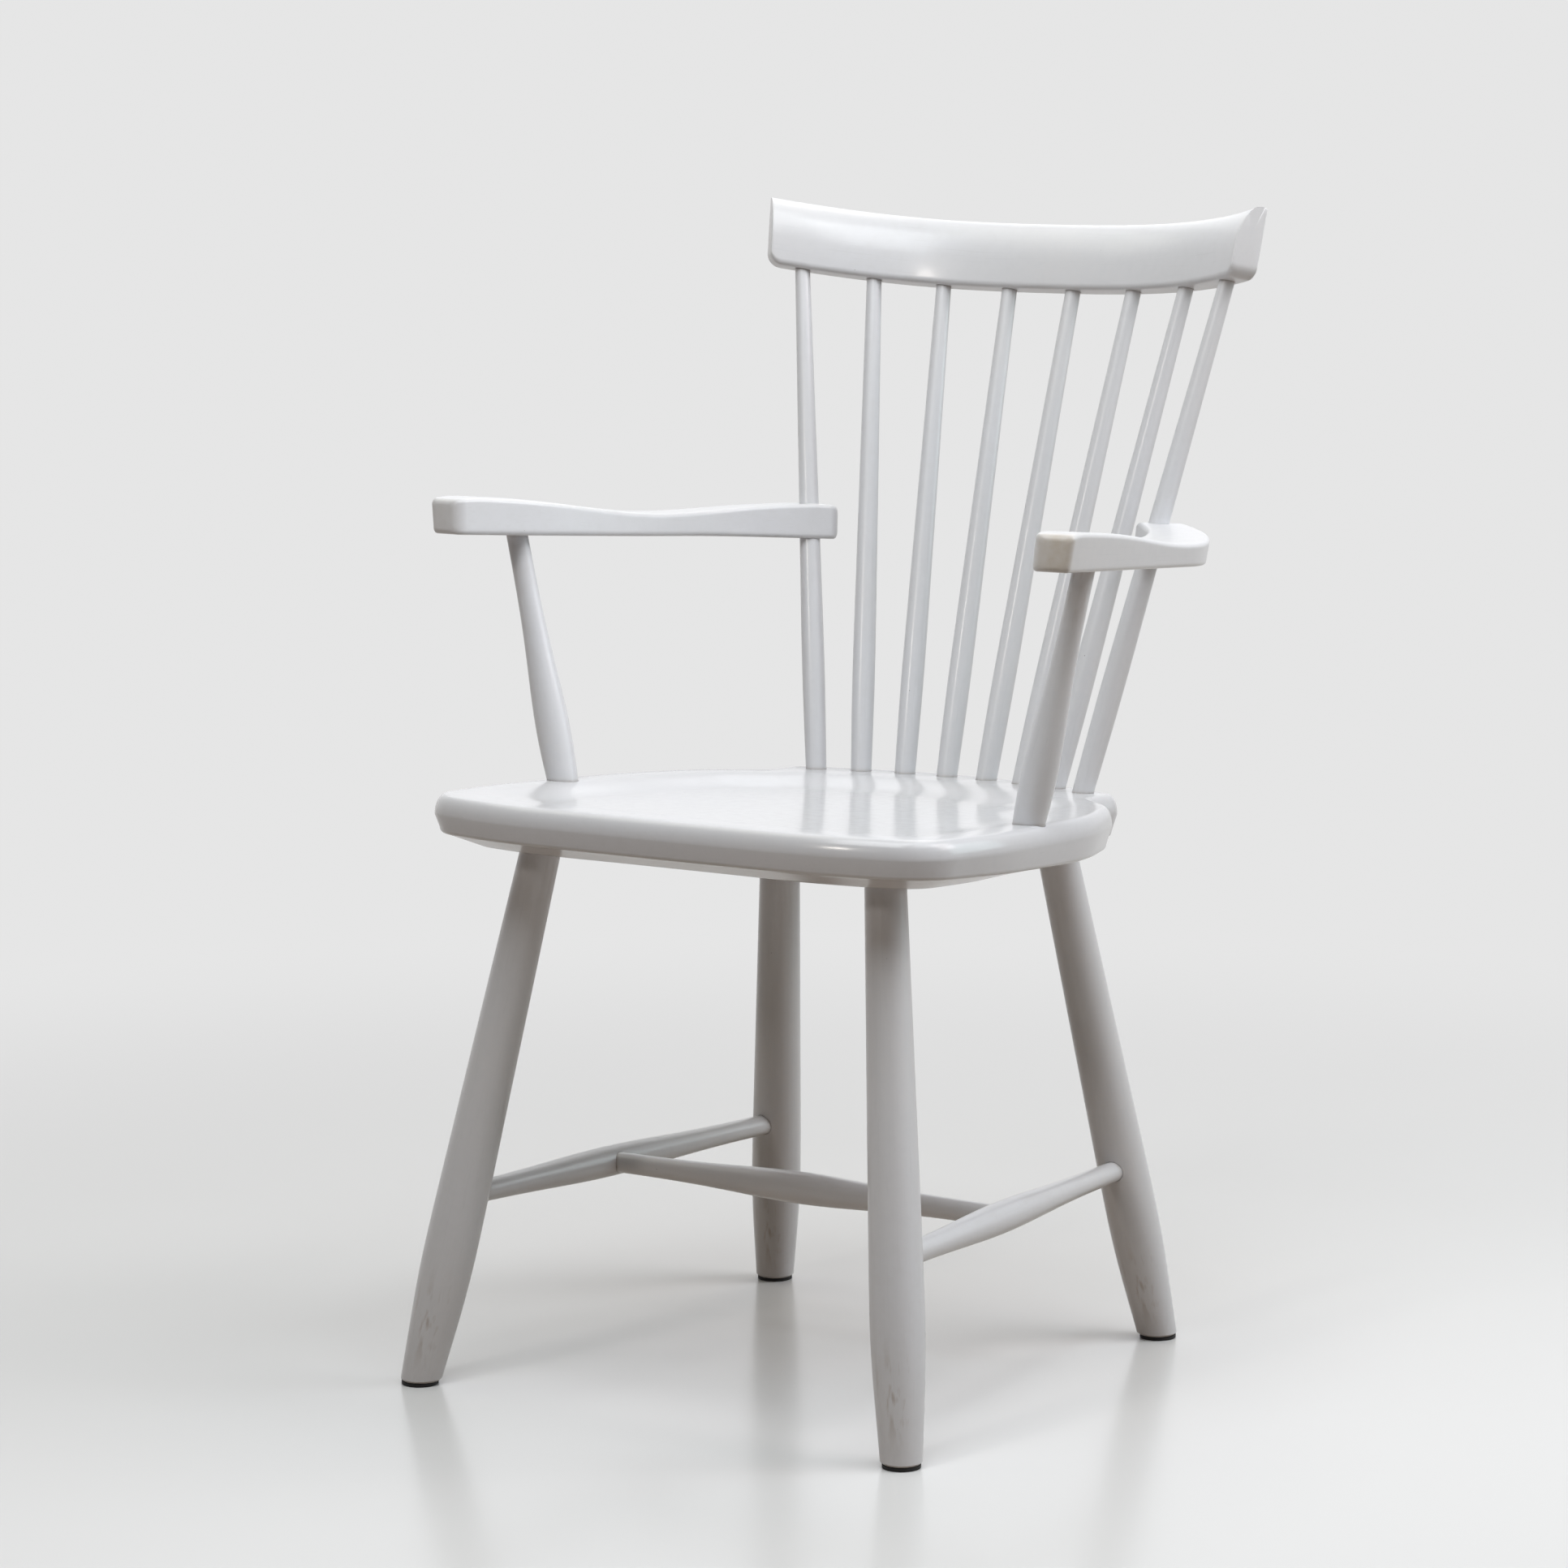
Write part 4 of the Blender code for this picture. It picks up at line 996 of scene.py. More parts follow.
def seat_outline():
    """The seat's outline in plan: rounded corners on the right, mirrored, then evenly spaced by length."""
    tail_corner = spindle_feet[-1] + TAIL_CORNER_STEP
    tail_radius = ROW_RADIUS + TAIL_BACK_MARGIN
    tail_angle = math.asin((tail_corner[0] - TAIL_CORNER_REACH) / tail_radius)
    tail_arc = row_points(np.linspace(tail_angle, 0.0, ARC_STEPS), tail_radius)
    cove = np.array([tail_corner[0] - TAIL_FLARE, SEAT_COVE_Y])
    corners = np.array([
        SEAT_FRONT, SEAT_FRONT_BOW, SEAT_CORNER, SEAT_WIDEST, SEAT_WAIST, SEAT_SHOULDER, cove, tail_corner,
        tail_arc[0]])
    radii = np.array([
        SIDE_ROUND, CORNER_ROUND, SIDE_ROUND, SIDE_ROUND, SHOULDER_ROUND, COVE_ROUND, TAIL_ROUND])[:, None]
    arcs = rounded(corners[:-2], corners[1:-1], corners[2:], radii, ARC_STEPS).reshape(-1, 2)
    right = np.concatenate([[SEAT_FRONT], arcs, tail_arc])
    whole = np.concatenate([right, right[-2::-1] * (-1.0, 1.0)])
    run = np.concatenate([[0.0], np.cumsum(np.linalg.norm(np.diff(whole, axis=0), axis=1))])
    even = np.arange(OUTLINE_POINTS) * run[-1] / OUTLINE_POINTS
    return np.stack([np.interp(even, run, whole[:, 0]), np.interp(even, run, whole[:, 1])], axis=-1)


outline = seat_outline()
print("seat", np.round(np.ptp(outline, axis=0), 4).tolist(), "m in plan")

# %% [markdown]
# ## The seat's surface
#
# A plank is sawn, spokeshaved round its edge and adzed hollow. Here each ring of the surface is the outline
# drawn in by an inset and set at a height, and the hollow follows rays from the middle of the seat, so the
# whole plank is one grid without a seam and all fourteen sockets can be bored at once.

# %% Seat surface
EDGE_ROUND_SIDE = 0.0080
EDGE_ROUND_FRONT = 0.0085
EDGE_ROUND_DEPTH = 0.015
EDGE_DEPTH_FRONT = 0.029
EDGE_DEPTH_SIDE = 0.033
EDGE_UNDERCUT = 0.004
EDGE_LOWER_ROUND = 0.004
UNDERSIDE_BEVEL = 0.027
DISH_DEPTH = 0.008
DISH_SIDE_MARGIN = 0.021
DISH_BACK_MARGIN = 0.031
DISH_EDGE_BLEND = 0.008
DISH_SLOPE_LENGTH = 0.060
DISH_FRONT_LENGTH = 0.110
RING_STEPS = 10
UNDERSIDE_START = 0.1
DISH_RINGS = 40
DISH_MIDDLE = 0.02
RIM_WEAR = 0.04
RIM_WEAR_BACK = 0.4
RIM_WEAR_DEPTH = 0.003
RIM_WEAR_SPREAD = 0.003


def drawn_in(inset):
    """The outline moved inwards, square to itself, for rings of insets (rings, points or 1)."""
    ahead = unit(np.roll(outline, -1, axis=0) - np.roll(outline, 1, axis=0))
    inward = np.stack([-ahead[:, 1], ahead[:, 0]], axis=-1)
    return outline + inward * inset[..., None]


def lifted(plan, height):
    """Plan points (rings, points, 2) with heights beside them."""
    return np.concatenate([plan, np.broadcast_to(height, plan.shape[:2])[..., None]], axis=-1)


def seat_rings():
    """Rings of the seat in its own frame, from under the middle to the middle of the hollow."""
    centre = np.array([0.0, (outline[:, 1].min() + outline[:, 1].max()) / 2.0])
    y = outline[:, 1]
    front_share = smooth_step((SEAT_WIDEST[1] - y) / (SEAT_WIDEST[1] - SEAT_CORNER[1]))
    edge_round = EDGE_ROUND_SIDE + (EDGE_ROUND_FRONT - EDGE_ROUND_SIDE) * front_share
    side_share = smooth_step((y - SEAT_CORNER[1]) / (SEAT_WAIST[1] - SEAT_CORNER[1]))
    edge_depth = EDGE_DEPTH_FRONT + (EDGE_DEPTH_SIDE - EDGE_DEPTH_FRONT) * side_share

    lower = drawn_in(np.full((1, 1), EDGE_UNDERCUT + EDGE_LOWER_ROUND))[0]
    spread = np.linalg.norm(lower - centre, axis=1, keepdims=True)
    inner = 1.0 - UNDERSIDE_BEVEL / spread
    shares = np.linspace(UNDERSIDE_START, 1.0, RING_STEPS)[:, None, None]
    flat = lifted(centre + (lower - centre) * inner * shares, -SEAT_THICKNESS)
    bevel_share = np.linspace(0.0, 1.0, RING_STEPS)[1:, None]
    bevel_plan = centre + (lower - centre) * (inner + (1.0 - inner) * bevel_share[..., None])
    bevel = lifted(bevel_plan, -SEAT_THICKNESS + (SEAT_THICKNESS - edge_depth) * bevel_share)

    turn = np.linspace(0.0, math.pi / 2.0, RING_STEPS)[1:, None]
    low_inset = EDGE_UNDERCUT + EDGE_LOWER_ROUND * (1.0 - np.sin(turn))
    low = lifted(drawn_in(low_inset), -edge_depth + EDGE_LOWER_ROUND * (1.0 - np.cos(turn)))
    over = np.linspace(0.0, math.pi / 2.0, RING_STEPS)[:, None]
    rim = lifted(drawn_in(edge_round * (1.0 - np.cos(over))), -EDGE_ROUND_DEPTH * (1.0 - np.sin(over)))
    return np.concatenate([flat, bevel, low, rim, dish_rings(centre)])


def dish_rings(centre):
    """Rings of the hollow: on each ray from the centre, a smooth fall from its edge to its floor."""
    ray = outline - centre
    spread = np.linalg.norm(ray, axis=1)
    ray = ray / spread[:, None]
    to_row = np.array([0.0, ROW_CENTRE_Y]) - centre
    along = ray @ to_row
    radius = ROW_RADIUS - DISH_BACK_MARGIN
    row_reach = along + np.sqrt(along**2 + radius**2 - to_row @ to_row)
    reach = soft_lower(spread - DISH_SIDE_MARGIN, row_reach, DISH_EDGE_BLEND)
    share = np.linspace(1.0, DISH_MIDDLE, DISH_RINGS)[:, None]
    plan = centre + ray * (reach * share)[..., None]
    slope = smooth_step(reach * (1.0 - share) / DISH_SLOPE_LENGTH)
    fade = smooth_step((plan[..., 1] - SEAT_FRONT[1]) / DISH_FRONT_LENGTH)
    return lifted(plan, -DISH_DEPTH * slope * fade)


def seat_rub(local):
    """Wear on the rim: a bell about the top of the round-over, stronger at the front and the corners."""
    rim = np.exp(-0.5 * ((local[..., 2] + RIM_WEAR_DEPTH) / RIM_WEAR_SPREAD) ** 2)
    to_edge = np.linalg.norm(local[..., :2] - outline, axis=-1)
    front = smooth_step((SEAT_WAIST[1] - local[..., 1]) / (SEAT_WAIST[1] - SEAT_FRONT[1]))
    strength = RIM_WEAR_BACK + (1.0 - RIM_WEAR_BACK) * front
    return RIM_WEAR * rim * (to_edge < EDGE_ROUND_FRONT) * strength


seat_local = seat_rings()
seat_sockets = [stick.socket(at_head=False) for stick in [*spindles, *posts.values()]]
seat_sockets += [leg.socket(at_head=True) for leg in legs.values()]
seat_wood = seat_local[..., [0, 2, 1]]
make_piece("seat", on_seat(seat_local), seat_wood, seat_lacquer, seat_sockets, rub=seat_rub(seat_local))

# %% [markdown]
# ## The crest rail
#
# The rail's section is like a fin: an upright front that curves back over a long nose to a ridge behind.
# That section is carried along the bow. At the ends its lower corners are rounded and its top flares out.

# %% Crest rail
CREST_HEIGHT = 0.055
CREST_THICKNESS = 0.022
CREST_NOSE_DEPTH = 0.017
CREST_NOSE_HEIGHT = 0.034
CREST_BACK_ROUND = 0.005
CREST_FRONT_EDGE_ROUND = 0.0045
CREST_BACK_EDGE_ROUND = 0.003
CREST_CORNER_ROUND = 0.010
CREST_CORNER_HEIGHT = 0.030
CREST_END_ROUND = 0.0015
CREST_END_FLARE = 0.005
SECTION_STEPS = 8
NOSE_STEPS = 20
FACE_STEPS = 6
CREST_STEPS = 120
CREST_END_WEAR = 0.05
CREST_EDGE_WEAR = 0.04
CREST_EDGE_PLACE = 0.001
CREST_WEAR_REACH = 0.002


def crest_section():
    """The rail's section as (depth, height): upright front, quarter ellipse nose, ridge, flat back."""
    front, back = -CREST_THICKNESS / 2.0, CREST_THICKNESS / 2.0
    nose_start = CREST_HEIGHT - CREST_NOSE_HEIGHT
    ridge = front + CREST_NOSE_DEPTH
    turn = np.linspace(0.0, math.pi / 2.0, NOSE_STEPS)
    nose = np.stack([
        front + CREST_NOSE_DEPTH * (1.0 - np.cos(turn)),
        nose_start + CREST_NOSE_HEIGHT * np.sin(turn)], axis=-1)
    before = np.array([[back, 0.0], [ridge, CREST_HEIGHT], [back, CREST_HEIGHT]])
    corner = np.array([[front, 0.0], [back, CREST_HEIGHT], [back, 0.0]])
    after = np.array([[front, nose_start], [back, 0.0], [front, 0.0]])
    radii = np.array([[CREST_FRONT_EDGE_ROUND], [CREST_BACK_ROUND], [CREST_BACK_EDGE_ROUND]])
    low_front, top_back, low_back = rounded(before, corner, after, radii, SECTION_STEPS)
    share = np.linspace(0.0, 1.0, FACE_STEPS + 1)[1:-1, None]
    face = top_back[-1] + (low_back[0] - top_back[-1]) * share
    return np.concatenate([low_front, nose, top_back[1:], face, low_back])


def crest_rings():
    """The section carried along the bow, in the rail's own frame."""
    turn = np.linspace(0.0, math.pi / 2.0, RING_STEPS)[:-1]
    near_end = CREST_CORNER_ROUND * (1.0 - np.cos(turn))
    inner = np.linspace(-crest_half + CREST_CORNER_ROUND, crest_half - CREST_CORNER_ROUND, CREST_STEPS + 1)
    reach = np.concatenate([near_end - crest_half, inner, crest_half - near_end[::-1]])[:, None]
    depth, height = crest_section().T
    to_end = crest_half - np.abs(reach)
    fade = np.clip(1.0 - height / CREST_CORNER_HEIGHT, 0.0, 1.0) ** 2
    depth = depth * (1.0 - corner_inset(to_end, CREST_END_ROUND) / (CREST_THICKNESS / 2.0))
    height = height + corner_inset(to_end, CREST_CORNER_ROUND) * fade
    flare = CREST_END_FLARE * height / CREST_HEIGHT * reach / crest_half
    points, headings = crest_line(reach)
    x = points[..., 0] - depth * headings[..., 1] + flare * headings[..., 0]
    y = points[..., 1] + depth * headings[..., 0] + flare * headings[..., 1]
    wood = np.stack([depth, height, np.broadcast_to(reach, depth.shape)], axis=-1)
    rub = CREST_END_WEAR * np.exp(-to_end / CREST_WEAR_REACH) + CREST_EDGE_WEAR * np.exp(
        -np.abs(height - CREST_EDGE_PLACE) / CREST_WEAR_REACH)
    return np.stack([x, y, height], axis=-1), wood, rub


crest_local, crest_wood, crest_rub = crest_rings()
crest_sockets = [spindle.socket(at_head=True) for spindle in spindles]
make_piece("crest_rail", on_crest(crest_local), crest_wood, frame_lacquer, crest_sockets, rub=crest_rub)

# %% [markdown]
# ## The arms
#
# An arm runs straight over its post, bends inwards and goes on round the outer spindle, which passes right
# through it. Its underside is flat, its sides lean out at the top, and a wide scoop crosses it between the
# two ends, where a forearm rests. The outer edge is the path, and the section is carried along it.

# %% Arm path
ARM_FRONT_REACH = 0.0745
ARM_BEND_ANGLE = math.radians(37.8)
ARM_BEND_RADIUS = 0.148
ARM_POST_INSET = 0.0189
ARM_SPINDLE_INSET = 0.0247
ARM_TAIL_REACH = 0.0223
ARM_FRONT_WIDTH = 0.0288
ARM_TAIL_WIDTH = 0.0323
ARM_SWELL = 0.0217
ARM_INNER_CORNER = 0.0085
ARM_OUTER_CORNER = 0.005
ARM_STEPS = 110

outer_spindles = {"left": spindles[0], "right": spindles[-1]}


def arm_crossing(hand):
    """How far along the outer spindle's axis it meets the plane of the arm's underside."""
    turn, origin = arm_frame(SIDES[hand])
    spindle = outer_spindles[hand]
    return float((origin - spindle.start) @ turn[:, 2] / (spindle.axis @ turn[:, 2]))


def arm_path(tail_point):
    """The arm's outer edge in plan: straight, an arc, straight, as places, inward ways, width, length."""
    tail_heading = np.array([-math.sin(ARM_BEND_ANGLE), math.cos(ARM_BEND_ANGLE)])
    tail_edge = tail_point + np.array([tail_heading[1], -tail_heading[0]]) * ARM_SPINDLE_INSET
    tail_run = (tail_edge[0] - ARM_POST_INSET) / tail_heading[0] + ARM_TAIL_REACH
    meeting_y = tail_edge[1] - (tail_run - ARM_TAIL_REACH) * tail_heading[1]
    front_run = meeting_y + ARM_FRONT_REACH
    half_bend = math.tan(ARM_BEND_ANGLE / 2.0)
    reach = min(ARM_BEND_RADIUS * half_bend, ROUNDING_LIMIT * min(front_run, tail_run))
    radius = reach / half_bend
    straight = front_run - reach
    length = front_run + tail_run - 2.0 * reach + radius * ARM_BEND_ANGLE

    turn = np.linspace(0.0, math.pi / 2.0, RING_STEPS)[:-1]
    near_end = ARM_INNER_CORNER * (1.0 - np.cos(turn))
    inside = np.linspace(ARM_INNER_CORNER, length - ARM_INNER_CORNER, ARM_STEPS + 1)
    s = np.concatenate([near_end, inside, length - near_end[::-1]])
    turned_by = np.clip((s - straight) / radius, 0.0, ARM_BEND_ANGLE)
    heading = np.stack([-np.sin(turned_by), np.cos(turned_by)], axis=-1)
    inward = np.stack([-heading[:, 1], heading[:, 0]], axis=-1)
    past = s - straight - radius * turned_by
    bend_centre = np.array([ARM_POST_INSET - radius, meeting_y - reach])
    edge = bend_centre - inward * radius + heading * past[:, None]
    share = s / length
    width = ARM_FRONT_WIDTH + (ARM_TAIL_WIDTH - ARM_FRONT_WIDTH) * share
    return s, length, edge, inward, width + ARM_SWELL * np.sin(math.pi * share)


print("outer spindles meet the arms", round(arm_crossing("right"), 4), "m above the seat, along their axes")

# %% [markdown]
# ## Arm surfaces
#
# A carver saws the arm's plan and then cuts the scoop across it. The section here has four corners, rounded
# by arcs, whose height at each place comes from the scoop. Its front end is rounded off as well, and gets a
# warm greige from hands, more on the right arm than on the left.

# %% Arm surfaces
ARM_END_THICKNESS = 0.0288
ARM_SCOOP_THICKNESS = 0.0176
ARM_SCOOP_AHEAD = 0.1412
ARM_SCOOP_SPREAD = 0.0679
ARM_SCOOP_TURN = math.radians(30.8)
ARM_OUTER_LEAN = 0.137
ARM_INNER_LEAN = 0.077
ARM_EDGE_ROUND = 0.0036
ARM_END_DROP = 0.0025
ARM_END_DROP_REACH = 0.022
ARM_FACE_STEPS = 10
ARM_END_ROUND = 0.0042
ARM_HAND_WEAR = {"left": 0.20, "right": 0.75}
ARM_HAND_REACH = 0.0042
ARM_HAND_TRACE = 0.16
ARM_TRACE_REACH = 0.028
ARM_INNER_SHARE = 0.45
ARM_INNER_FROM = 0.40
ARM_INNER_FADE = 0.50
ARM_EDGE_WEAR = 0.35
ARM_EDGE_REACH = 0.0012


def arm_thickness(points, tail_point):
    """The arm's thickness at plan points: full at the ends, less a bell-shaped trough across it."""
    along = np.array([-math.sin(ARM_SCOOP_TURN), math.cos(ARM_SCOOP_TURN)])
    place = ((points - tail_point) @ along + ARM_SCOOP_AHEAD) / ARM_SCOOP_SPREAD
    return ARM_END_THICKNESS - (ARM_END_THICKNESS - ARM_SCOOP_THICKNESS) * np.exp(-0.5 * place**2)


def arm_rings(hand, tail_point):
    """The arm's section, a four-sided one with rounded edges, carried along its outer edge."""
    s, length, edge, inward, width = arm_path(tail_point)
    to_end = np.minimum(s, length - s)
    outer = corner_inset(to_end, ARM_OUTER_CORNER)
    inner = width - corner_inset(to_end, ARM_INNER_CORNER)
    end_round = corner_inset(to_end, ARM_END_ROUND)
    drop = ARM_END_DROP * np.clip(1.0 - to_end / ARM_END_DROP_REACH, 0.0, 1.0) ** 2 + end_round
    outer_top = arm_thickness(edge + inward * outer[:, None], tail_point) - drop
    inner_top = arm_thickness(edge + inward * inner[:, None], tail_point) - drop
    corners = np.stack([
        np.stack([outer, end_round], axis=-1),
        np.stack([inner, end_round], axis=-1),
        np.stack([inner - ARM_INNER_LEAN * inner_top, inner_top], axis=-1),
        np.stack([outer - ARM_OUTER_LEAN * outer_top, outer_top], axis=-1)], axis=1)
    arcs = rounded(
        np.roll(corners, 1, axis=1), corners, np.roll(corners, -1, axis=1), ARM_EDGE_ROUND, SECTION_STEPS)
    share = np.linspace(0.0, 1.0, ARM_FACE_STEPS + 1)[1:-1, None]
    leaving = arcs[:, :, -1:]
    faces = leaving + (np.roll(arcs, -1, axis=1)[:, :, :1] - leaving) * share
    section = np.concatenate([arcs, faces], axis=2).reshape(len(s), -1, 2)
    plan = edge[:, None] + section[..., :1] * inward[:, None]
    local = np.concatenate([plan * (SIDES[hand], 1.0), section[..., 1:]], axis=-1)
    wood = np.concatenate([section, np.broadcast_to(s[:, None, None], (*section.shape[:2], 1))], axis=-1)
    return local, wood, arm_rub(hand, s[:, None], section, width[:, None])


def arm_rub(hand, s, section, width):
    """Wear of an arm: its front end, which a hand holds, less on the inner side, and its lower edges."""
    inner = smooth_step((section[..., 0] / width - ARM_INNER_FROM) / ARM_INNER_FADE)
    gripped = np.exp(-((s / ARM_HAND_REACH) ** 2)) + ARM_HAND_TRACE * np.exp(-s / ARM_TRACE_REACH)
    held = ARM_HAND_WEAR[hand] * gripped * (1.0 - ARM_INNER_SHARE * inner)
    low = ARM_EDGE_WEAR * np.exp(-section[..., 1] / ARM_EDGE_REACH)
    side = np.minimum(np.abs(section[..., 0]), np.abs(width - section[..., 0]))
    return np.maximum(held, low * np.exp(-side / ARM_EDGE_ROUND))


for hand, side in SIDES.items():
    arm_turn, arm_origin = arm_frame(side)
    crossing = arm_crossing(hand)
    spindle = outer_spindles[hand]
    tail_local = (spindle.start + spindle.axis * crossing - arm_origin) @ arm_turn
    arm_local, arm_wood, worn = arm_rings(hand, tail_local[:2] * (side, 1.0))
    arm_sockets = [posts[hand].socket(at_head=True), spindle.passage(crossing)]
    arm_points = arm_local @ arm_turn.T + arm_origin
    make_piece(f"arm_{hand}", arm_points, arm_wood, frame_lacquer, arm_sockets, rub=worn)

# %% [markdown]
# ## Foot glides
#
# A thin black disc is nailed under each leg so that the chair slides and the floor keeps its finish. It is
# moulded rubber: nearly black, a little dusty and greyer where it is scraped. The nail is bright wire that
# has begun to rust. Both are turned shapes, so they use the rings of a stick.

# %% Rubber and steel
RUBBER_COLOUR = (0.017, 0.017, 0.018)
RUBBER_DUST = (0.030, 0.028, 0.025)
RUBBER_SPECULAR = 0.25
RUBBER_ROUGHNESS = (0.48, 0.72)
DUST_SCALE = 240.0
DUST_RANGE = (0.45, 0.75)
DUST_SHARE = 0.7
SKIN_SCALE = 2600.0
SKIN_BUMP = 0.25
STEEL_COLOUR = (0.56, 0.57, 0.58)
STEEL_ROUGHNESS = (0.30, 0.65)
RUST_COLOUR = (0.24, 0.12, 0.06)
RUST_SCALE = 700.0
RUST_RANGE = (0.58, 0.70)
RUST_SHARE = 0.8
DRAWN_SCALE = 3000.0
DRAWN_STRETCH = 0.05
DRAWN_BUMP = 0.15
FINE_HEIGHT = 0.0002


def rubber(name):
    """Moulded rubber: black, with dust in patches, a fine grainy skin and an uneven dull gloss."""
    material, tree, shader, place = new_finish(name)
    patches = noise(tree, place, DUST_SCALE, detail=4.0)
    skin = noise(tree, place, SKIN_SCALE, detail=2.0)
    dusty = carried(tree, patches, *DUST_RANGE, 0.0, DUST_SHARE)
    link(tree, covered(tree, dusty, RUBBER_COLOUR, RUBBER_DUST), shader.inputs["Base Color"])
    link(tree, carried(tree, patches, *GLOSS_RANGE, *RUBBER_ROUGHNESS), shader.inputs["Roughness"])
    link(tree, bumped(tree, skin, SKIN_BUMP, FINE_HEIGHT), shader.inputs["Normal"])
    shader.inputs["Specular IOR Level"].default_value = RUBBER_SPECULAR
    return material


def wire_steel(name):
    """Nail wire: steel with drawing marks along it and the first spots of rust."""
    material, tree, shader, place = new_finish(name)
    marks = noise(tree, stretched(tree, place, DRAWN_STRETCH), DRAWN_SCALE, detail=2.0)
    spots = noise(tree, place, RUST_SCALE, detail=4.0)
    rusty = carried(tree, spots, *RUST_RANGE, 0.0, RUST_SHARE)
    link(tree, covered(tree, rusty, STEEL_COLOUR, RUST_COLOUR), shader.inputs["Base Color"])
    link(tree, carried(tree, rusty, 0.0, RUST_SHARE, *STEEL_ROUGHNESS), shader.inputs["Roughness"])
    link(tree, bumped(tree, marks, DRAWN_BUMP, FINE_HEIGHT), shader.inputs["Normal"])
    shader.inputs["Metallic"].default_value = 1.0
    return material


black_rubber = rubber("black_rubber")
nail_steel = wire_steel("nail_steel")
print("finishes", black_rubber.name, nail_steel.name)

# %% [markdown]
# ## Glides and nails in place
#
# A glide is punched from sheet, with a sunk hole for the nail's head, and the nail runs up into the leg.
# Both are rows of heights and radii, so the eight small pieces need no more than one loop.

# %% Glides and nails
GLIDE_RADIUS = 0.0139
GLIDE_CHAMFER = 0.0005

head_hole = np.array([
    [GLIDE_THICKNESS - NAIL_HEAD - FIT_GAP, NAIL_HEAD_RADIUS + FIT_GAP],
    [GLIDE_THICKNESS + FIT_GAP, NAIL_HEAD_RADIUS + FIT_GAP]])
nail_rows = np.concatenate([
    [[GLIDE_THICKNESS - NAIL_HEAD, NAIL_HEAD_RADIUS], [GLIDE_THICKNESS, NAIL_HEAD_RADIUS]],
    nail_shank_rows(0.0)])
glide_rows = np.array([
    [0.0, GLIDE_RADIUS - GLIDE_CHAMFER], [GLIDE_CHAMFER, GLIDE_RADIUS], [GLIDE_THICKNESS, GLIDE_RADIUS]])
for corner, foot in feet.items():
    upright = upright_stick(foot)
    glide = upright.rings(glide_rows[:, 0], glide_rows[:, 1])
    hole = upright.rings(head_hole[:, 0], head_hole[:, 1]) + foot
    make_piece(f"glide_{corner}", glide + foot, glide, black_rubber, [hole])
    nail = upright.rings(nail_rows[:, 0], nail_rows[:, 1])
    make_piece(f"glide_nail_{corner}", nail + foot, nail, nail_steel)

# %% [markdown]
# ## Floor
#
# The chair stands on a smooth pale floor that shows soft reflections of its feet. A floor in Blender is
# one large face. Its far part turns into the colour of the background, by distance from the chair, so
# that no horizon shows behind the chair from any side. Light that bounces off it counts it as darker and
# warmer than it looks, which keeps the shade under the seat.

# %% Floor
FLOOR_REACH = 40.0
FLOOR_COLOUR = (0.80, 0.80, 0.80)
FLOOR_BOUNCE = (0.34, 0.275, 0.22)
FLOOR_ROUGHNESS = 0.20
FLOOR_SPECULAR = 0.30
BACKGROUND_COLOUR = (0.79, 0.79, 0.79)
FADE_NEAR = 0.45
FADE_FAR = 1.9


def floor_paint():
    """A smooth pale floor paint that fades into the background's colour with distance."""
    material = bpy.data.materials.new("floor_paint")
    material.use_nodes = True
    tree = material.node_tree
    shader = tree.nodes["Principled BSDF"]
    shader.inputs["Roughness"].default_value = FLOOR_ROUGHNESS
    shader.inputs["Specular IOR Level"].default_value = FLOOR_SPECULAR
    path = add_node(tree, "ShaderNodeLightPath").outputs
    shown = reckon(tree, "MAXIMUM", path["Is Camera Ray"], path["Is Glossy Ray"])
    link(tree, covered(tree, shown, FLOOR_BOUNCE, FLOOR_COLOUR), shader.inputs["Base Color"])
    far = add_node(tree, "ShaderNodeEmission", Color=(*BACKGROUND_COLOUR, 1.0))
    place = add_node(tree, "ShaderNodeTexCoord")
    distance = add_node(tree, "ShaderNodeVectorMath", operation="LENGTH")
    link(tree, place.outputs["Object"], distance.inputs[0])
    fade = add_node(tree, "ShaderNodeMapRange", interpolation_type="SMOOTHSTEP")
    fade.inputs["From Min"].default_value = FADE_NEAR
    fade.inputs["From Max"].default_value = FADE_FAR
    link(tree, distance.outputs["Value"], fade.inputs["Value"])
    mix = add_node(tree, "ShaderNodeMixShader")
    link(tree, reckon(tree, "MULTIPLY", fade.outputs["Result"], shown), mix.inputs["Fac"])
    link(tree, shader.outputs["BSDF"], mix.inputs[1])
    link(tree, far.outputs["Emission"], mix.inputs[2])
    link(tree, mix.outputs["Shader"], tree.nodes["Material Output"].inputs["Surface"])
    return material


floor_corners = np.array([[-1.0, -1.0, 0.0], [1.0, -1.0, 0.0], [1.0, 1.0, 0.0], [-1.0, 1.0, 0.0]])
floor_mesh = bpy.data.meshes.new("floor")
floor_mesh.from_pydata((floor_corners * FLOOR_REACH).tolist(), [], [(0, 1, 2, 3)])
floor_mesh.materials.append(floor_paint())
floor = bpy.data.objects.new("floor", floor_mesh)
scene.collection.objects.link(floor)
print("floor", 2.0 * FLOOR_REACH, "m wide")

# %% [markdown]
# ## The room
#
# A painted chair mirrors the room a little: a pale wall behind it, and a dimmer space in front. The world
# shows its pale colour to the camera, these two tones in reflections, and otherwise only a faint fill, so
# that the lamps alone shape the chair.

# %% Room
ROOM_FILL = (0.01, 0.01, 0.01)
ROOM_FRONT = (0.26, 0.24, 0.22)
ROOM_BEHIND = (0.98, 0.98, 1.0)
ROOM_TURN = (-0.7, 0.3)


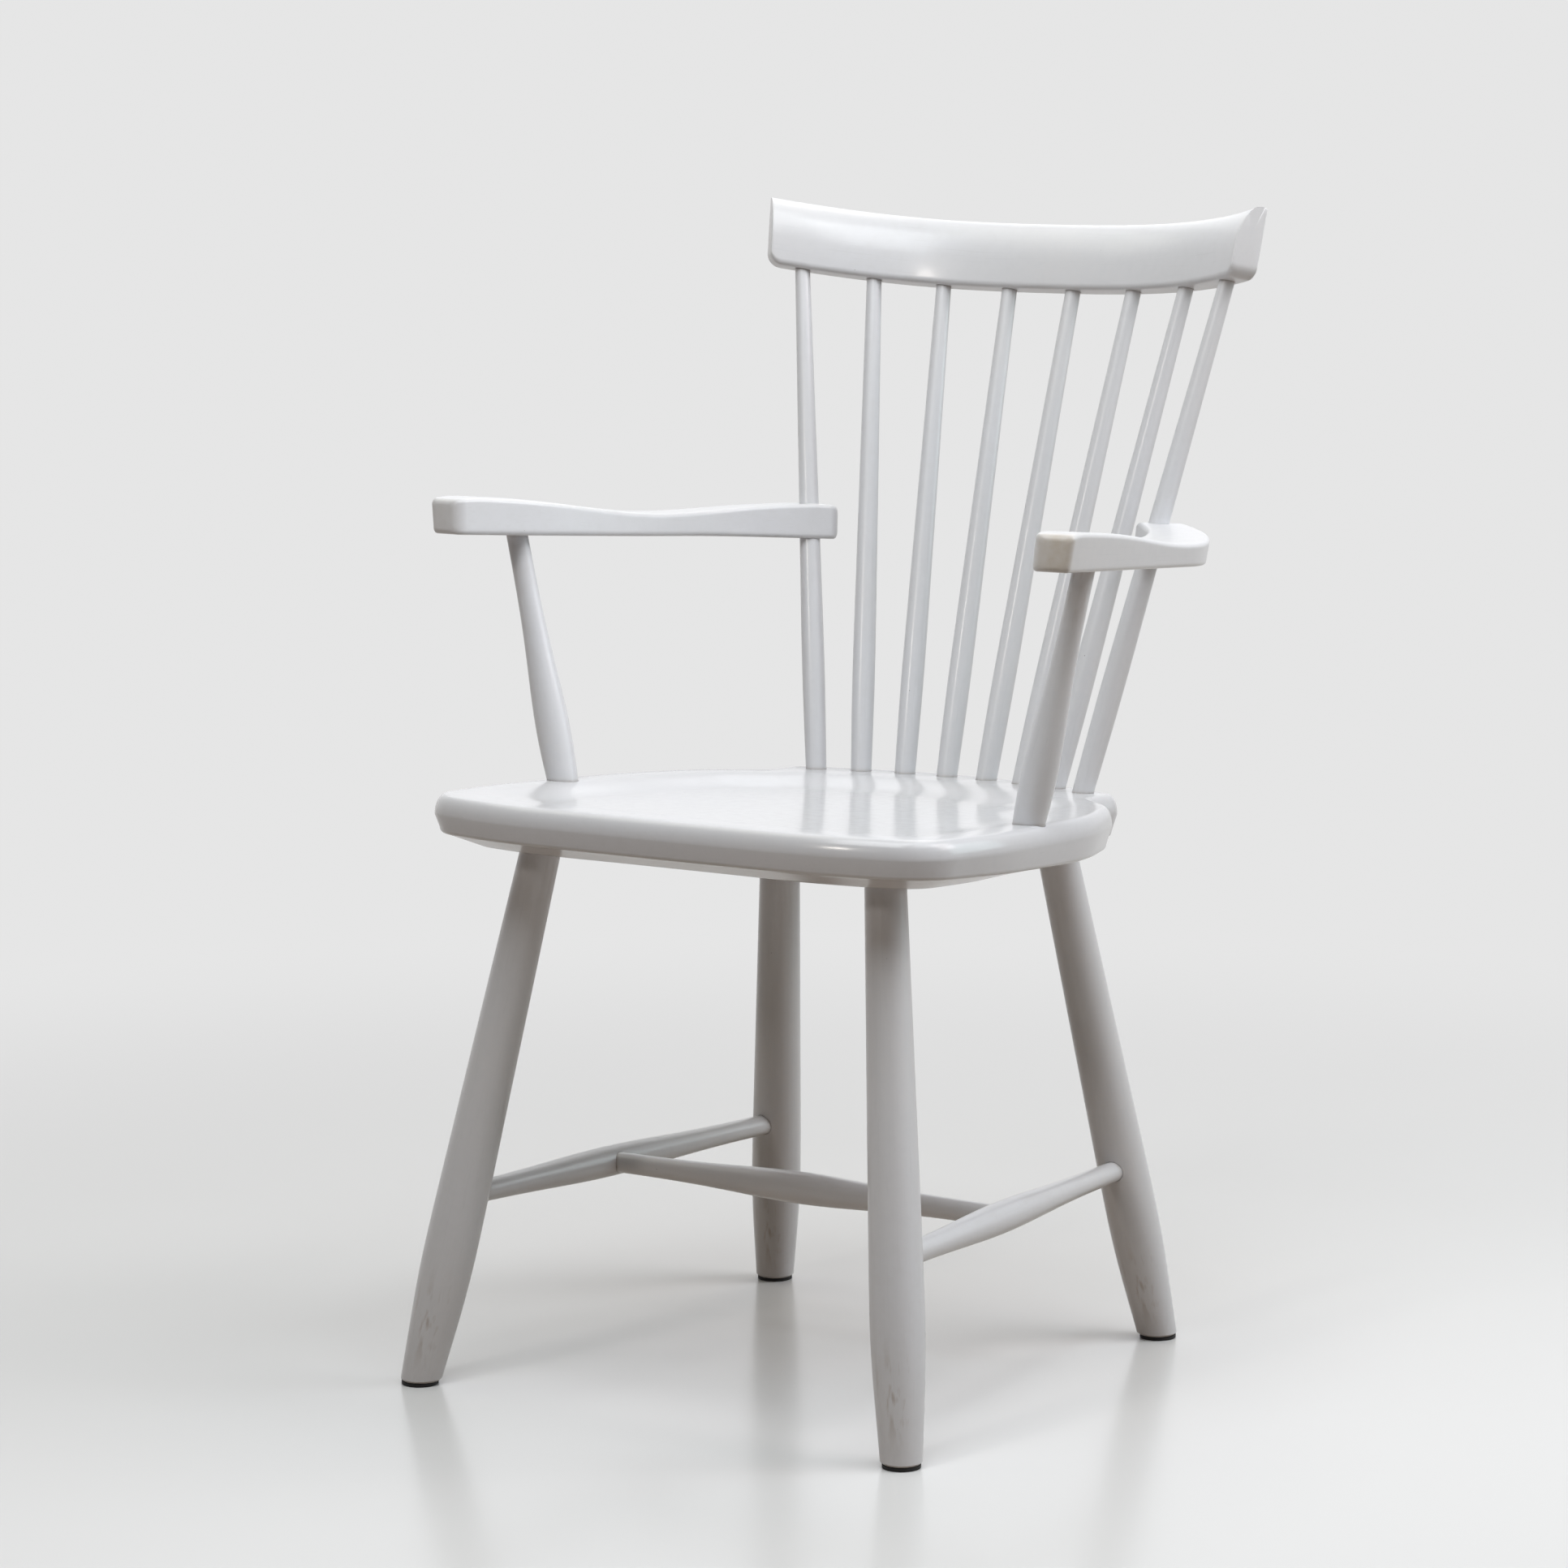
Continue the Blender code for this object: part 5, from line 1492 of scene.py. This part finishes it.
def white_room():
    """A world that looks pale to the camera and in reflections, and gives a dim fill to the rest."""
    world = bpy.data.worlds.new("white_room")
    world.use_nodes = True
    tree = world.node_tree
    fill = tree.nodes["Background"]
    fill.inputs["Color"].default_value = (*ROOM_FILL, 1.0)
    seen = add_node(tree, "ShaderNodeBackground")
    path = add_node(tree, "ShaderNodeLightPath").outputs
    direction = add_node(tree, "ShaderNodeSeparateXYZ")
    link(tree, add_node(tree, "ShaderNodeTexCoord").outputs["Generated"], direction.inputs["Vector"])
    behind = carried(tree, direction.outputs["Y"], *ROOM_TURN)
    mirrored = covered(tree, behind, ROOM_FRONT, ROOM_BEHIND)
    link(tree, covered(tree, path["Is Camera Ray"], mirrored, BACKGROUND_COLOUR), seen.inputs["Color"])
    either = reckon(tree, "MAXIMUM", path["Is Camera Ray"], path["Is Glossy Ray"])
    shown = reckon(tree, "MAXIMUM", either, path["Is Transmission Ray"])
    mix = add_node(tree, "ShaderNodeMixShader")
    link(tree, shown, mix.inputs["Fac"])
    link(tree, fill.outputs["Background"], mix.inputs[1])
    link(tree, seen.outputs["Background"], mix.inputs[2])
    link(tree, mix.outputs["Shader"], tree.nodes["World Output"].inputs["Surface"])
    return world


scene.world = white_room()
print("world", scene.world.name)

# %% [markdown]
# ## Lamps
#
# Most of the light falls from above, as in a white studio. More comes from the right and from behind than
# from the front, and one small lamp in front draws a thin light line down each spindle. Each lamp is a
# square area lamp, given by its direction, distance, size, power and colour.

# %% Lamps
LAMP_TARGET = np.array([0.0, 0.0, 0.45])


def soft_box(name, azimuth, elevation, distance, size, power, colour):
    """A square lamp that faces the chair, placed by its direction: azimuth 0 is straight in front."""
    turn, rise = math.radians(azimuth), math.radians(elevation)
    away = np.array([math.sin(turn) * math.cos(rise), -math.cos(turn) * math.cos(rise), math.sin(rise)])
    data = bpy.data.lights.new(name, "AREA")
    data.size = size
    data.energy = power
    data.color = colour
    lamp = bpy.data.objects.new(name, data)
    lamp.location = LAMP_TARGET + away * distance
    lamp.rotation_euler = (math.pi / 2.0 - rise, 0.0, turn)
    lamp.visible_camera = False
    scene.collection.objects.link(lamp)


soft_box("over_front", 10.0, 60.0, 2.0, 1.2, 21.5, (0.95, 0.98, 1.0))
soft_box("over_right", 80.0, 58.0, 2.0, 1.2, 12.0, (0.95, 0.99, 1.0))
soft_box("over_left", -80.0, 58.0, 2.0, 1.2, 5.0, (1.0, 0.99, 0.86))
soft_box("over_back", 180.0, 60.0, 2.2, 1.2, 8.5, (1.0, 0.92, 0.82))
soft_box("right_behind", 115.0, 38.0, 2.6, 1.4, 24.0, (1.0, 0.94, 0.95))
soft_box("low_behind", 130.0, 20.0, 3.0, 1.6, 17.0, (0.80, 0.98, 1.0))
soft_box("left_behind", -140.0, 36.0, 2.8, 1.6, 5.0, (0.96, 0.98, 1.0))
soft_box("front_spot", -8.0, 27.0, 4.0, 0.35, 13.0, (1.0, 0.93, 0.86))
